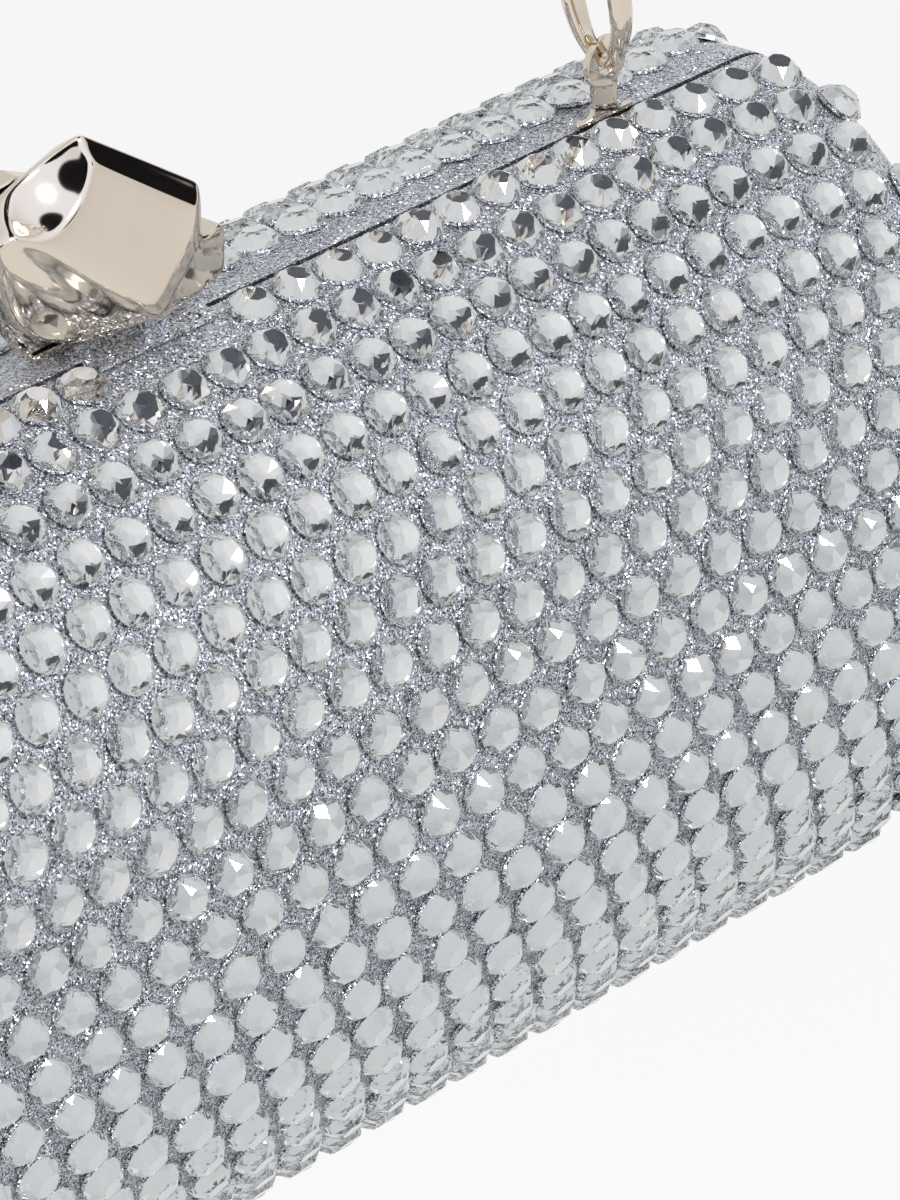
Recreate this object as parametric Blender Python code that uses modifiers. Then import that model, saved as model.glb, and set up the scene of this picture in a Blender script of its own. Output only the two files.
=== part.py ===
"""A rigid evening clutch: two rounded half shells on a long hinge, set all over with cut
crystals, closed by a sculpted metal clasp and hung from a chain of oval links. Lengths are
in metres, +Z is up.
Every piece is drawn about the bag's centre; the origin is where the chain is held."""

import math
from bisect import bisect_right

import bmesh
import bpy
from mathutils import Matrix, Vector
from mathutils.geometry import delaunay_2d_cdt

# Gaps between neighbouring pieces
FIT_GAP = 0.0003
PIN_CLEARANCE = 0.00015
SEAM_GAP = 0.0006
OVERRUN = 0.004

# The pod, an elliptic cylinder with rounded ends, measured over its glitter fabric
BAG_LENGTH = 0.175
BAG_DEPTH = 0.0628
BAG_HEIGHT = 0.0864
END_ROUNDING = 0.0068
SKIN_THICKNESS = 0.0007
SHELL_THICKNESS = 0.0020
LINING_THICKNESS = 0.0008
RIM_THICKNESS = 0.0012
RIM_WIDTH = 0.0050
PROFILE_SIDES = 32
ROUNDING_STEPS = 3
ROUND_SIDES = 12

# The crystals, in staggered rows that follow the pod's section; each is a six-sided point
CRYSTAL_HEIGHT = 0.0020
CRYSTAL_PITCH = 0.0056
ROW_STEP = 0.00508
FRONT_FIRST_ROW = 0.0033
BACK_FIRST_ROW = 0.0060
CRYSTAL_END_GAP = 0.0085
BARE_HINGE_STRIP = 0.0048
BARE_SEAM_STRIP = 0.0008
CRYSTAL_ROWS = 22
END_FIRST_RING = 0.0016
END_RING_STEP = 0.0054
BARE_END_STRIP = 0.0032
FRONT_CLASP_GAP = (-0.0075, 0.0085)
BACK_CLASP_GAP = (-0.0190, 0.0100)

# The hinge along the bottom, its barrel flush with the fabric
BARREL_RADIUS = 0.0015
BARREL_SINK = 0.0003
HINGE_PIN_RADIUS = 0.0006
HINGE_END_GAP = 0.0075
KNUCKLES = 7
KNUCKLE_GAP = 0.0004
SLOT_SIDE_GAP = 0.0005
LEAF_THICKNESS = 0.0008
LEAF_WIDTH = 0.0070

# The slip pocket, a flat panel across the back half
POCKET_BACK = 0.0172
POCKET_THICKNESS = 0.0008
POCKET_HEIGHT = 0.040

# The clasp: a sculpted front lever that tilts on a bracket, and a rear block behind it
CLASP_FRONT_DEPTH = 0.0040
CLASP_BACK_DEPTH = 0.0019
KEEPER_THICKNESS = 0.0024
SOCKET_ROOM = 0.0005
CLASP_WIDTH = 0.0296
CLASP_LEFT = 0.0194
CLASP_HEIGHT = 0.0214
CLASP_FOOT_RISE = 0.0018
CLASP_EDGE = 0.0004
CLASP_EDGE_STEPS = 2
SCOOP_RADIUS = 0.0076
BRACKET_LENGTH = 0.015
BRACKET_PLATE = 0.0004
BRACKET_WIDTH = 0.0024
LUG_LENGTH = 0.0030
LUG_RADIUS = 0.0008
LUG_TILT_ROOM = 0.0005
PIVOT_Y = -0.0015
PIVOT_RISE = 0.0032
PIVOT_PIN_RADIUS = 0.0006
PIVOT_PIN_LENGTH = 0.008
HEEL_RELIEF = 0.0007
SPRING_THICKNESS = 0.0004
SPRING_WIDTH = 0.0024
SPRING_HEIGHT = 0.0024
STUD_RADIUS = 0.0010
STUD_LENGTH = 0.0012
STUD_RISE = 0.0125
SCREW_RADIUS = 0.0005
SCREW_HEAD_RADIUS = 0.0011
SCREW_HEAD_THICKNESS = 0.0005
BRACKET_SCREW_SPACING = 0.0104
KEEPER_SCREW_SPACING = 0.013
KEEPER_SCREW_DEPTH = 0.003

# The two chain tabs, which stand in the seam
TAB_FROM_END = 0.0259
TAB_THICKNESS = 0.0007
TAB_HEAD_RADIUS = 0.00265
TAB_NECK_WIDTH = 0.0032
TAB_FOOT_WIDTH = 0.0076
TAB_FOOT_RISE = 0.0006
TAB_HOLE_RISE = 0.0059
TAB_HOLE_RADIUS = 0.0011
TAB_FLANGE_THICKNESS = 0.0007
TAB_RIVET_RADIUS = 0.0008
TAB_RIVET_HEAD = 0.0014
TAB_RIVET_HEAD_THICKNESS = 0.0005

# The chain: oval links of flattened wire, each turned a quarter turn from the last
LINK_LENGTH = 0.0170
LINK_WIDTH = 0.0075
LINK_WIRE = 0.0013
LINK_BAND = 0.0028
LINK_GAP = 0.0006
LINK_COUNT = 31
LINK_STATIONS = 12
HOLD_RADIUS = 0.0280

# Places that follow from the sizes above
HALF_LENGTH = BAG_LENGTH / 2
HALF_DEPTH = BAG_DEPTH / 2
HALF_HEIGHT = BAG_HEIGHT / 2
HALF_SEAM = SEAM_GAP / 2
HINGE_LENGTH = BAG_LENGTH - 2 * HINGE_END_GAP
TAB_SPACING = BAG_LENGTH - 2 * TAB_FROM_END
SHELL_INSET = SKIN_THICKNESS + FIT_GAP
INNER_INSET = SHELL_INSET + SHELL_THICKNESS + FIT_GAP
RIM_INSET = INNER_INSET + RIM_THICKNESS
HINGE_Z = BARREL_SINK + BARREL_RADIUS - HALF_HEIGHT
SLOT_HALF = BARREL_RADIUS + SLOT_SIDE_GAP
LEAF_TOP = INNER_INSET + LEAF_THICKNESS - HALF_HEIGHT
CLASP_BASE = HALF_HEIGHT + CLASP_FOOT_RISE
PIVOT_Z = HALF_HEIGHT + PIVOT_RISE
BRACKET_BOTTOM = HALF_HEIGHT + FIT_GAP
KEEPER_MIDDLE = CLASP_BACK_DEPTH + FIT_GAP + KEEPER_THICKNESS / 2
TAB_Y = TAB_THICKNESS / 2
TAB_BACK = TAB_THICKNESS + FIT_GAP
HOLE_Z = HALF_HEIGHT + TAB_HOLE_RISE
WIRE_SPAN = LINK_LENGTH - LINK_WIRE
LINK_PITCH = WIRE_SPAN - LINK_WIRE - LINK_GAP
CHAIN_LENGTH = (LINK_COUNT - 1) * LINK_PITCH + WIRE_SPAN

# Corners of the lever's facets, as shares of the clasp's width, front depth and height from its
# foot: the ridge, the chamfer below it, the belt where the body is deepest, and the underside
LEVER_FRONT_SHARES = [
    (0.40, 0.25, 1.00),
    (0.89, 0.25, 0.54),
    (0.90, 0.25, 0.33),
    (0.39, 0.65, 0.90),
    (0.83, 0.65, 0.45),
    (0.83, 0.65, 0.33),
    (0.22, 1.00, 0.61),
    (0.61, 1.00, 0.10),
    (0.00, 0.95, 0.76),
    (0.00, 0.50, 0.62),
    (0.05, 0.50, 0.48),
    (0.09, 0.50, 0.33),
    (0.16, 0.50, 0.20),
    (0.25, 0.50, 0.10),
    (0.42, 0.50, 0.01),
    (0.87, 0.40, 0.00),
]
# Corners of its back face, as shares of the width and height
LEVER_BACK_SHARES = [
    (0.39, 0.86),
    (0.87, 0.45),
    (0.90, 0.33),
    (0.87, 0.00),
    (0.42, 0.00),
    (0.25, 0.10),
    (0.16, 0.20),
    (0.09, 0.33),
    (0.05, 0.48),
    (0.00, 0.62),
    (0.00, 0.79),
]
# The low tooth at its right: corners in front, then on the back face
TOOTH_FRONT_SHARES = [
    (0.70, 0.40, 0.30),
    (0.70, 0.40, 0.04),
    (0.97, 0.20, 0.30),
    (1.00, 0.20, 0.25),
    (1.00, 0.20, 0.08),
    (0.97, 0.20, 0.04),
]
TOOTH_BACK_SHARES = [(0.70, 0.30), (0.97, 0.30), (1.00, 0.25), (1.00, 0.08), (0.97, 0.04), (0.70, 0.04)]
# The rear block's outline, lower than the lever but for its tip at the left
KEEPER_OUTLINE_SHARES = [
    (0.24, 0.82),
    (0.84, 0.46),
    (0.86, 0.00),
    (0.30, 0.00),
    (0.16, 0.20),
    (0.08, 0.60),
    (0.09, 0.80),
]
# The hollow's centre along the width, in front of the lever's face and up the height
SCOOP_PLACE_SHARES = (0.18, 1.50, 1.00)
# Where the crystals' rows start, and how closely they are set, as shares of the pitch: at the
# first row and what each further row adds
ROW_START_SHARES = (-3.77, 0.4755)
ROW_PITCH_SHARES = (0.955, 0.0053)


def new_collection(name, hidden=False):
    collection = bpy.data.collections.new(name)
    bpy.context.scene.collection.children.link(collection)
    collection.hide_render = hidden
    return collection


def new_material(name, colour, roughness, metallic=0.0):
    material = bpy.data.materials.new(name)
    material.use_nodes = True
    shader = material.node_tree.nodes["Principled BSDF"]
    shader.inputs["Base Color"].default_value = (*colour, 1.0)
    shader.inputs["Roughness"].default_value = roughness
    shader.inputs["Metallic"].default_value = metallic
    return material


def new_empty(name, place, parent=None):
    empty = bpy.data.objects.new(name, None)
    empty.location = place
    empty.parent = parent
    CLUTCH.objects.link(empty)
    return empty


def new_object(name, mesh):
    obj = bpy.data.objects.new(name, mesh)
    CUTTERS.objects.link(obj)
    obj.parent = BAG
    obj.hide_render = True
    obj.display_type = "WIRE"
    return obj


def from_bmesh(name, bm):
    bmesh.ops.recalc_face_normals(bm, faces=bm.faces)
    mesh = bpy.data.meshes.new(name)
    bm.to_mesh(mesh)
    bm.free()
    return new_object(name, mesh)


def keep(obj, material, joint):
    """Turns a shape into a piece of the bag, carried by the empty of the joint that moves it."""
    CUTTERS.objects.unlink(obj)
    CLUTCH.objects.link(obj)
    obj.hide_render = False
    obj.display_type = "TEXTURED"
    obj.data.materials.append(material)
    place, pivot = joint
    obj.parent = pivot
    obj.location -= Vector(place)
    obj.data.shade_smooth()
    obj.data.set_sharp_from_angle(angle=math.radians(30))
    return obj


def boolean(obj, operation, other):
    modifier = obj.modifiers.new(f"{operation.lower()}_{other.name}", "BOOLEAN")
    modifier.operation = operation
    modifier.object = other
    return obj


def cut(obj, *others):
    for other in others:
        boolean(obj, "DIFFERENCE", other)
    return obj


def join(obj, *others):
    for other in others:
        boolean(obj, "UNION", other)
    return obj


def box(name, low, high):
    bm = bmesh.new()
    bmesh.ops.create_cube(bm, size=1)
    size = [b - a for a, b in zip(low, high)]
    middle = [(a + b) / 2 for a, b in zip(low, high)]
    bmesh.ops.scale(bm, vec=size, verts=bm.verts)
    bmesh.ops.translate(bm, vec=middle, verts=bm.verts)
    return from_bmesh(name, bm)


def add_rod(bm, radius, start, end, sides=ROUND_SIDES):
    start = Vector(start)
    along = Vector(end) - start
    turn = Vector((0, 0, 1)).rotation_difference(along).to_matrix().to_4x4()
    bmesh.ops.create_cone(
        bm,
        cap_ends=True,
        segments=sides,
        radius1=radius,
        radius2=radius,
        depth=along.length,
        matrix=Matrix.Translation(start + along / 2) @ turn,
    )


def rod(name, radius, start, end, sides=ROUND_SIDES):
    bm = bmesh.new()
    add_rod(bm, radius, start, end, sides)
    return from_bmesh(name, bm)


def pod(name, inset):
    """The bag's outer form, set in all round by the given depth."""
    bm = bmesh.new()
    lay_along_x = Matrix.Rotation(math.radians(90), 4, "Y")
    bmesh.ops.create_cone(
        bm,
        cap_ends=True,
        segments=PROFILE_SIDES,
        radius1=1,
        radius2=1,
        depth=2,
        matrix=lay_along_x,
    )
    half_size = (HALF_LENGTH - inset, HALF_DEPTH - inset, HALF_HEIGHT - inset)
    bmesh.ops.scale(bm, vec=half_size, verts=bm.verts)
    ends = [edge for edge in bm.edges if len({round(v.co.x, 6) for v in edge.verts}) == 1]
    bmesh.ops.bevel(
        bm,
        geom=ends,
        offset=max(END_ROUNDING - inset, SKIN_THICKNESS),
        offset_type="OFFSET",
        segments=ROUNDING_STEPS,
        profile=0.5,
        affect="EDGES",
    )
    return from_bmesh(name, bm)


def slab(name, side, near, far):
    """A block over the whole bag, between two distances from the seam on one side of it."""
    reach = HALF_LENGTH + HALF_HEIGHT
    faces = sorted((side * near, side * far))
    return box(name, (-reach, faces[0], -reach), (reach, faces[1], reach))


def layer(name, side, outer, inner, near=HALF_SEAM):
    """One half of a wall of the pod, from one inset to a deeper one, starting beside the seam."""
    wall = pod(name, outer)
    hollow = pod(f"{name}_hollow", inner)
    other_half = slab(f"{name}_other_half", side, -BAG_DEPTH, near)
    return cut(wall, hollow, other_half)


def plate(name, outline, thickness, to_place, holes=()):
    """A flat piece: closed outlines filled as a 2D curve and thickened about their plane."""
    curve = bpy.data.curves.new(name, "CURVE")
    curve.dimensions = "2D"
    curve.fill_mode = "BOTH"
    curve.extrude = thickness / 2
    for points in (outline, *holes):
        spline = curve.splines.new("POLY")
        spline.points.add(len(points) - 1)
        for point, (across, up) in zip(spline.points, points):
            point.co = (across, up, 0, 1)
        spline.use_cyclic_u = True
    flat = bpy.data.objects.new(f"{name}_curve", curve)
    CUTTERS.objects.link(flat)
    graph = bpy.context.evaluated_depsgraph_get()
    mesh = bpy.data.meshes.new_from_object(flat.evaluated_get(graph))
    mesh.transform(to_place)
    bm = bmesh.new()
    bm.from_mesh(mesh)
    bmesh.ops.remove_doubles(bm, verts=bm.verts, dist=PIN_CLEARANCE / 10)
    bpy.data.objects.remove(flat)
    bpy.data.meshes.remove(mesh)
    return from_bmesh(name, bm)


def facing_front(middle):
    """Stands a plate in a plane across the bag's depth: its X along the bag, its Y up."""
    return Matrix.Translation((0, middle, 0)) @ Matrix.Rotation(math.radians(90), 4, "X")


def facing_side(middle):
    """Stands a plate in a plane across the bag's length: its X towards the back, its Y up."""
    turn = Matrix(((0, 0, 1, 0), (1, 0, 0, 0), (0, 1, 0, 0), (0, 0, 0, 1)))
    return Matrix.Translation((middle, 0, 0)) @ turn


def arc(centre, radius, start, end, steps):
    angles = [start + (end - start) * i / steps for i in range(steps + 1)]
    return [(centre[0] + radius * math.cos(a), centre[1] + radius * math.sin(a)) for a in angles]


def hinge_slot(name):
    """The slot along the bottom that the barrel turns in."""
    top = INNER_INSET + LEAF_THICKNESS - HALF_HEIGHT
    return box(
        name,
        (-HALF_LENGTH - OVERRUN, -SLOT_HALF, -HALF_HEIGHT - OVERRUN),
        (HALF_LENGTH + OVERRUN, SLOT_HALF, top),
    )


def knuckle_span(index):
    pitch = HINGE_LENGTH / KNUCKLES
    start = index * pitch - HINGE_LENGTH / 2
    return start + KNUCKLE_GAP / 2, start + pitch - KNUCKLE_GAP / 2


def wall_z(inset, y):
    """Height of the bottom wall's surface at a distance from the seam."""
    share = y / (HALF_DEPTH - inset)
    return -(HALF_HEIGHT - inset) * math.sqrt(1 - share * share)


def rods(name, radius, spans):
    bm = bmesh.new()
    for start, end in spans:
        add_rod(bm, radius, start, end)
    return from_bmesh(name, bm)


def hinge_leaf(name, side, material, joint):
    """A curved leaf against the shell, with its own knuckles of the barrel."""
    leaf = layer(name, side, INNER_INSET, INNER_INSET + LEAF_THICKNESS, SLOT_HALF)
    reach = HINGE_LENGTH / 2 - KNUCKLE_GAP / 2
    edge = SLOT_HALF + LEAF_WIDTH
    ends = sorted((0, side * edge))
    strip = box(f"{name}_strip", (-reach, ends[0], -BAG_HEIGHT), (reach, ends[1], HINGE_Z / 2))
    boolean(leaf, "INTERSECT", strip)
    seat = wall_z(INNER_INSET, SLOT_HALF)
    lap = SLOT_HALF + LEAF_THICKNESS
    lug = [
        (0, HINGE_Z),
        (side * BARREL_RADIUS, HINGE_Z),
        (side * BARREL_RADIUS, seat),
        (side * lap, wall_z(INNER_INSET, lap)),
        (side * lap, LEAF_TOP),
        (0, LEAF_TOP),
    ]
    for index in range(0 if side > 0 else 1, KNUCKLES, 2):
        start, end = knuckle_span(index)
        middle = (start + end) / 2
        barrel = rod(f"{name}_barrel_{index}", BARREL_RADIUS, (start, 0, HINGE_Z), (end, 0, HINGE_Z))
        web = plate(f"{name}_web_{index}", lug, end - start, facing_side(middle))
        join(leaf, web, barrel)
    reach += OVERRUN
    bore_radius = HINGE_PIN_RADIUS + PIN_CLEARANCE
    bore = rod(f"{name}_bore", bore_radius, (-reach, 0, HINGE_Z), (reach, 0, HINGE_Z))
    cut(leaf, bore)
    return keep(leaf, material, joint)


def measured_section(drop=0):
    """Points of half the pod's section, set in by the given depth, and their distances from its top."""
    steps = 20 * PROFILE_SIDES
    angles = [math.pi * i / steps for i in range(steps + 1)]
    half_depth, half_height = HALF_DEPTH - drop, HALF_HEIGHT - drop
    points = [(half_depth * math.sin(a), half_height * math.cos(a)) for a in angles]
    lengths = [0]
    for a, b in zip(points, points[1:]):
        lengths.append(lengths[-1] + math.dist(a, b))
    return angles, lengths, points


def on_pod(side, x, around, rise=0):
    """A point over one half's surface, by its place along the bag and round from the top seam."""
    angles, lengths, _ = SECTION
    index = min(bisect_right(lengths, around), len(lengths) - 1) - 1
    part = (around - lengths[index]) / (lengths[index + 1] - lengths[index])
    angle = angles[index] + part * (angles[index + 1] - angles[index])
    normal = Vector((0, HALF_HEIGHT * math.sin(angle), HALF_DEPTH * math.cos(angle))).normalized()
    across = HALF_SEAM + (HALF_DEPTH - HALF_SEAM) * math.sin(angle)
    point = Vector((x, across, HALF_HEIGHT * math.cos(angle))) + rise * normal
    return Vector((point.x, side * point.y, point.z))


def crystal_places(side):
    """Places for one half's crystals, along the bag and round from the seam, and those left bare."""
    first, gap = (FRONT_FIRST_ROW, FRONT_CLASP_GAP) if side < 0 else (BACK_FIRST_ROW, BACK_CLASP_GAP)
    reach = HALF_LENGTH - CRYSTAL_END_GAP
    places, bare = [], []
    for row in range(CRYSTAL_ROWS):
        start = CRYSTAL_PITCH * (ROW_START_SHARES[0] + row * ROW_START_SHARES[1])
        pitch = CRYSTAL_PITCH * (ROW_PITCH_SHARES[0] + row * ROW_PITCH_SHARES[1])
        around = first + row * ROW_STEP
        if around > SECTION[1][-1] - BARE_HINGE_STRIP:
            break
        for i in range(math.ceil((-reach - start) / pitch), math.floor((reach - start) / pitch) + 1):
            x = start + i * pitch
            behind_clasp = row == 0 and gap[0] < x < gap[1]
            (bare if behind_clasp else places).append(Vector((x, around)))
    return places, bare


def between_crystals(stones):
    """The low points of a field of crystals: the middle of each three that stand together."""
    field = delaunay_2d_cdt(stones, [], [], 0, FIT_GAP)
    low = []
    for face in field[2]:
        corners = [field[0][i] for i in face]
        if max((a - b).length for a in corners for b in corners) < CRYSTAL_PITCH + ROW_STEP / 2:
            low.append(sum(corners, Vector((0, 0))) / len(corners))
    return low


def rounded_end(bm, column, side, end):
    """Rounds the pod's edge on from a column of the wall, and returns the flat end's outline."""
    ring = [vert for _, vert in column]
    start = HALF_LENGTH - END_ROUNDING
    for step in range(1, ROUNDING_STEPS + 1):
        angle = math.radians(90) * step / ROUNDING_STEPS
        x = end * (start + END_ROUNDING * math.sin(angle))
        drop = END_ROUNDING * (1 - math.cos(angle))
        following = [bm.verts.new(on_pod(side, x, around, -drop)) for around, _ in column]
        for i in range(len(ring) - 1):
            bm.faces.new((ring[i], ring[i + 1], following[i + 1], following[i]))
        ring = following
    return ring


def end_places():
    """Places for the crystals on half of a flat end, in rings that follow its outline."""
    places = []
    drop = END_ROUNDING + END_FIRST_RING
    while HALF_DEPTH - drop > END_RING_STEP / 2:
        _, lengths, points = measured_section(drop)
        room = lengths[-1] - 2 * BARE_END_STRIP
        count = round(room / CRYSTAL_PITCH)
        for i in range(count):
            goal = BARE_END_STRIP + room * (i + 0.5) / count
            places.append(Vector(points[bisect_right(lengths, goal)]))
        drop += END_RING_STEP
    return [place for place in places if place.x > CRYSTAL_PITCH / 2]


def crystal_end(bm, ring, side, end):
    """Closes a flat end, with its crystals, from the outline that the rounding leaves."""
    outline = [Vector((side * vert.co.y, vert.co.z)) for vert in ring]
    top, bottom = outline[0], outline[-1]
    steps = round((top - bottom).length / CRYSTAL_PITCH)
    seam = [top.lerp(bottom, i / steps) for i in range(1, steps)]
    stones = end_places()
    field = delaunay_2d_cdt(
        outline + stones + between_crystals(stones) + seam, [], [], 0, PIN_CLEARANCE
    )
    verts = []
    for place, sources in zip(field[0], field[3]):
        source = min(sources)
        if source < len(outline):
            verts.append(ring[source])
        else:
            rise = CRYSTAL_HEIGHT if source < len(outline) + len(stones) else 0
            verts.append(bm.verts.new((end * (HALF_LENGTH + rise), side * place.x, place.y)))
    for face in field[2]:
        bm.faces.new([verts[i] for i in face])


def crystal_wall(name, side):
    """One half of the pod as a closed body whose round wall rises to a point at each crystal."""
    girth = SECTION[1][-1]
    reach = HALF_LENGTH - END_ROUNDING
    stones, bare = crystal_places(side)
    plan = stones + bare + between_crystals(stones + bare)
    columns = round(2 * reach / CRYSTAL_PITCH)
    top = max(BARE_SEAM_STRIP, stones[0].y - CRYSTAL_PITCH / 2)
    for around in (0, top, stones[-1].y + CRYSTAL_PITCH / 2, girth):
        plan += [Vector((reach * (2 * i / columns - 1), around)) for i in range(columns + 1)]
    rows = round(girth / ROW_STEP)
    for i in range(1, rows):
        plan += [Vector((end * reach, girth * i / rows)) for end in (-1, 1)]
    field = delaunay_2d_cdt(plan, [], [], 0, PIN_CLEARANCE)
    bm = bmesh.new()
    verts = []
    for place, sources in zip(field[0], field[3]):
        rise = CRYSTAL_HEIGHT if min(sources) < len(stones) else 0
        verts.append(bm.verts.new(on_pod(side, place.x, place.y, rise)))
    for face in field[2]:
        bm.faces.new([verts[i] for i in face])
    for end in (-1, 1):
        column = [(place.y, vert) for place, vert in zip(field[0], verts) if end * place.x > reach - FIT_GAP]
        column.sort(key=lambda entry: entry[0])
        crystal_end(bm, rounded_end(bm, column, side, end), side, end)
    bmesh.ops.edgeloop_fill(bm, edges=[edge for edge in bm.edges if edge.is_boundary])
    return from_bmesh(name, bm)


def skin(name, side, cutters, material, joint):
    """The glitter fabric that wraps one half shell, fused with its crystals."""
    wrap = crystal_wall(name, side)
    cut(wrap, pod(f"{name}_hollow", SKIN_THICKNESS), *cutters)
    keep(wrap, material, joint)
    wrap.data.shade_flat()


def shell(name, side, cutters, material, joint):
    """The rigid half shell under the fabric."""
    wall = layer(name, side, SHELL_INSET, SHELL_INSET + SHELL_THICKNESS)
    cut(wall, *cutters)
    return keep(wall, material, joint)


def rim(name, side, cutters, material, joint):
    """The metal frame inside the shell's edge, along both ends and the top."""
    ring = layer(name, side, INNER_INSET, RIM_INSET)
    inner_side = slab(f"{name}_inner_side", side, HALF_SEAM + RIM_WIDTH, BAG_DEPTH)
    reach = HALF_LENGTH + OVERRUN
    foot = wall_z(INNER_INSET + LEAF_THICKNESS, SLOT_HALF + LEAF_WIDTH) + RIM_THICKNESS
    bottom = box(f"{name}_bottom", (-reach, -reach, -BAG_HEIGHT), (reach, reach, foot))
    cut(ring, inner_side, bottom, *cutters)
    return keep(ring, material, joint)


def lining(name, side, material, joint):
    """Padded cloth glued inside the shell, starting behind the rim and the hinge leaf."""
    start = HALF_SEAM + RIM_WIDTH + FIT_GAP
    cloth = layer(name, side, INNER_INSET, INNER_INSET + LINING_THICKNESS, start)
    reach = HALF_LENGTH + OVERRUN
    edge = SLOT_HALF + LEAF_WIDTH + FIT_GAP
    top = -HALF_HEIGHT / 2
    hinge_zone = box(f"{name}_hinge_zone", (-reach, -edge, -BAG_HEIGHT), (reach, edge, top))
    cut(cloth, hinge_zone)
    return keep(cloth, material, joint)


def slip_pocket(name, material, joint):
    """A flat panel whose lower edge and ends meet the back lining, open at the top."""
    inset = INNER_INSET + LINING_THICKNESS + FIT_GAP
    foot = wall_z(inset, POCKET_BACK)
    low = (-HALF_LENGTH, POCKET_BACK - POCKET_THICKNESS, foot - OVERRUN)
    panel = box(name, low, (HALF_LENGTH, POCKET_BACK, foot + POCKET_HEIGHT))
    boolean(panel, "INTERSECT", pod(f"{name}_room", inset))
    return keep(panel, material, joint)


def clasp_point(shares):
    across, up = shares
    return across * CLASP_WIDTH - CLASP_LEFT, CLASP_BASE + up * CLASP_HEIGHT


def round_edges(obj):
    edge = obj.modifiers.new("edges", "BEVEL")
    edge.width = CLASP_EDGE
    edge.segments = CLASP_EDGE_STEPS
    edge.limit_method = "ANGLE"


def facets(name, front, back, depth):
    """A faceted body through corners in front, as shares, and corners on its flat back face."""
    bm = bmesh.new()
    for across, forward, up in front:
        x, z = clasp_point((across, up))
        bm.verts.new((x, -forward * CLASP_FRONT_DEPTH, z))
    for shares in back:
        x, z = clasp_point(shares)
        bm.verts.new((x, depth, z))
    hull = bmesh.ops.convex_hull(bm, input=bm.verts)
    inside = [item for item in hull["geom_interior"] if isinstance(item, bmesh.types.BMVert)]
    bmesh.ops.delete(bm, geom=inside, context="VERTS")
    bmesh.ops.dissolve_limit(bm, angle_limit=math.radians(2), verts=bm.verts, edges=bm.edges)
    return from_bmesh(name, bm)


def clasp_lever(name, material, joint):
    """The faceted front piece: a sloping ridge, a chamfered top and a spherical hollow."""
    lever = facets(name, LEVER_FRONT_SHARES, LEVER_BACK_SHARES, CLASP_BACK_DEPTH)
    round_edges(lever)
    tooth = facets(f"{name}_tooth", TOOTH_FRONT_SHARES, TOOTH_BACK_SHARES, CLASP_BACK_DEPTH - FIT_GAP)
    round_edges(tooth)
    bm = bmesh.new()
    across, forward, up = SCOOP_PLACE_SHARES
    x, z = clasp_point((across, up))
    place = Matrix.Translation((x, -forward * CLASP_FRONT_DEPTH, z))
    bmesh.ops.create_uvsphere(bm, u_segments=20, v_segments=14, radius=SCOOP_RADIUS, matrix=place)
    scoop = from_bmesh(f"{name}_scoop", bm)
    half_slot = LUG_LENGTH / 2 + FIT_GAP
    slot_top = PIVOT_Z + LUG_RADIUS + FIT_GAP + SPRING_HEIGHT + FIT_GAP
    slot = box(
        f"{name}_slot",
        (-half_slot, PIVOT_Y - LUG_RADIUS - LUG_TILT_ROOM, HALF_HEIGHT),
        (half_slot, OVERRUN, slot_top),
    )
    heel = box(
        f"{name}_heel",
        (-BAG_LENGTH / 2, -HEEL_RELIEF, HALF_HEIGHT),
        (BAG_LENGTH / 2, OVERRUN, PIVOT_Z),
    )
    half_pin = PIVOT_PIN_LENGTH / 2 + FIT_GAP
    bore_radius = PIVOT_PIN_RADIUS + PIN_CLEARANCE
    bore = rod(f"{name}_bore", bore_radius, (-half_pin, PIVOT_Y, PIVOT_Z), (half_pin, PIVOT_Y, PIVOT_Z))
    start, end = stud_span()
    socket = rod(
        f"{name}_socket",
        STUD_RADIUS + SOCKET_ROOM,
        (0, start[1] - FIT_GAP, start[2]),
        (0, end[1], end[2]),
    )
    join(lever, tooth)
    cut(lever, scoop, slot, heel, bore, socket)
    return keep(lever, material, joint)


def clasp_keeper(name, screw_bores, material, joint):
    """The rear block on the back half, bored for the stud and its two screws."""
    outline = [clasp_point(shares) for shares in KEEPER_OUTLINE_SHARES]
    foot = BRACKET_BOTTOM - CLASP_BASE
    outline = [(x, z + foot * (z == CLASP_BASE)) for x, z in outline]
    block = plate(name, outline, KEEPER_THICKNESS, facing_front(KEEPER_MIDDLE))
    round_edges(block)
    start, end = stud_span(OVERRUN, FIT_GAP)
    bore = rod(f"{name}_bore", STUD_RADIUS + PIN_CLEARANCE, start, end)
    cut(block, screw_bores, bore)
    return keep(block, material, joint)


def stud_span(longer=0, deeper=0):
    """Ends of the stud that sits in the rear block and reaches into the lever's socket."""
    stud_z = HALF_HEIGHT + STUD_RISE
    face = KEEPER_MIDDLE - KEEPER_THICKNESS / 2
    return (0, face - STUD_LENGTH - longer, stud_z), (0, KEEPER_MIDDLE + deeper, stud_z)


def keeper_stud(name, material, joint):
    """The stud that locates the lever as the clasp closes."""
    return keep(rod(name, STUD_RADIUS, *stud_span()), material, joint)


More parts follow.
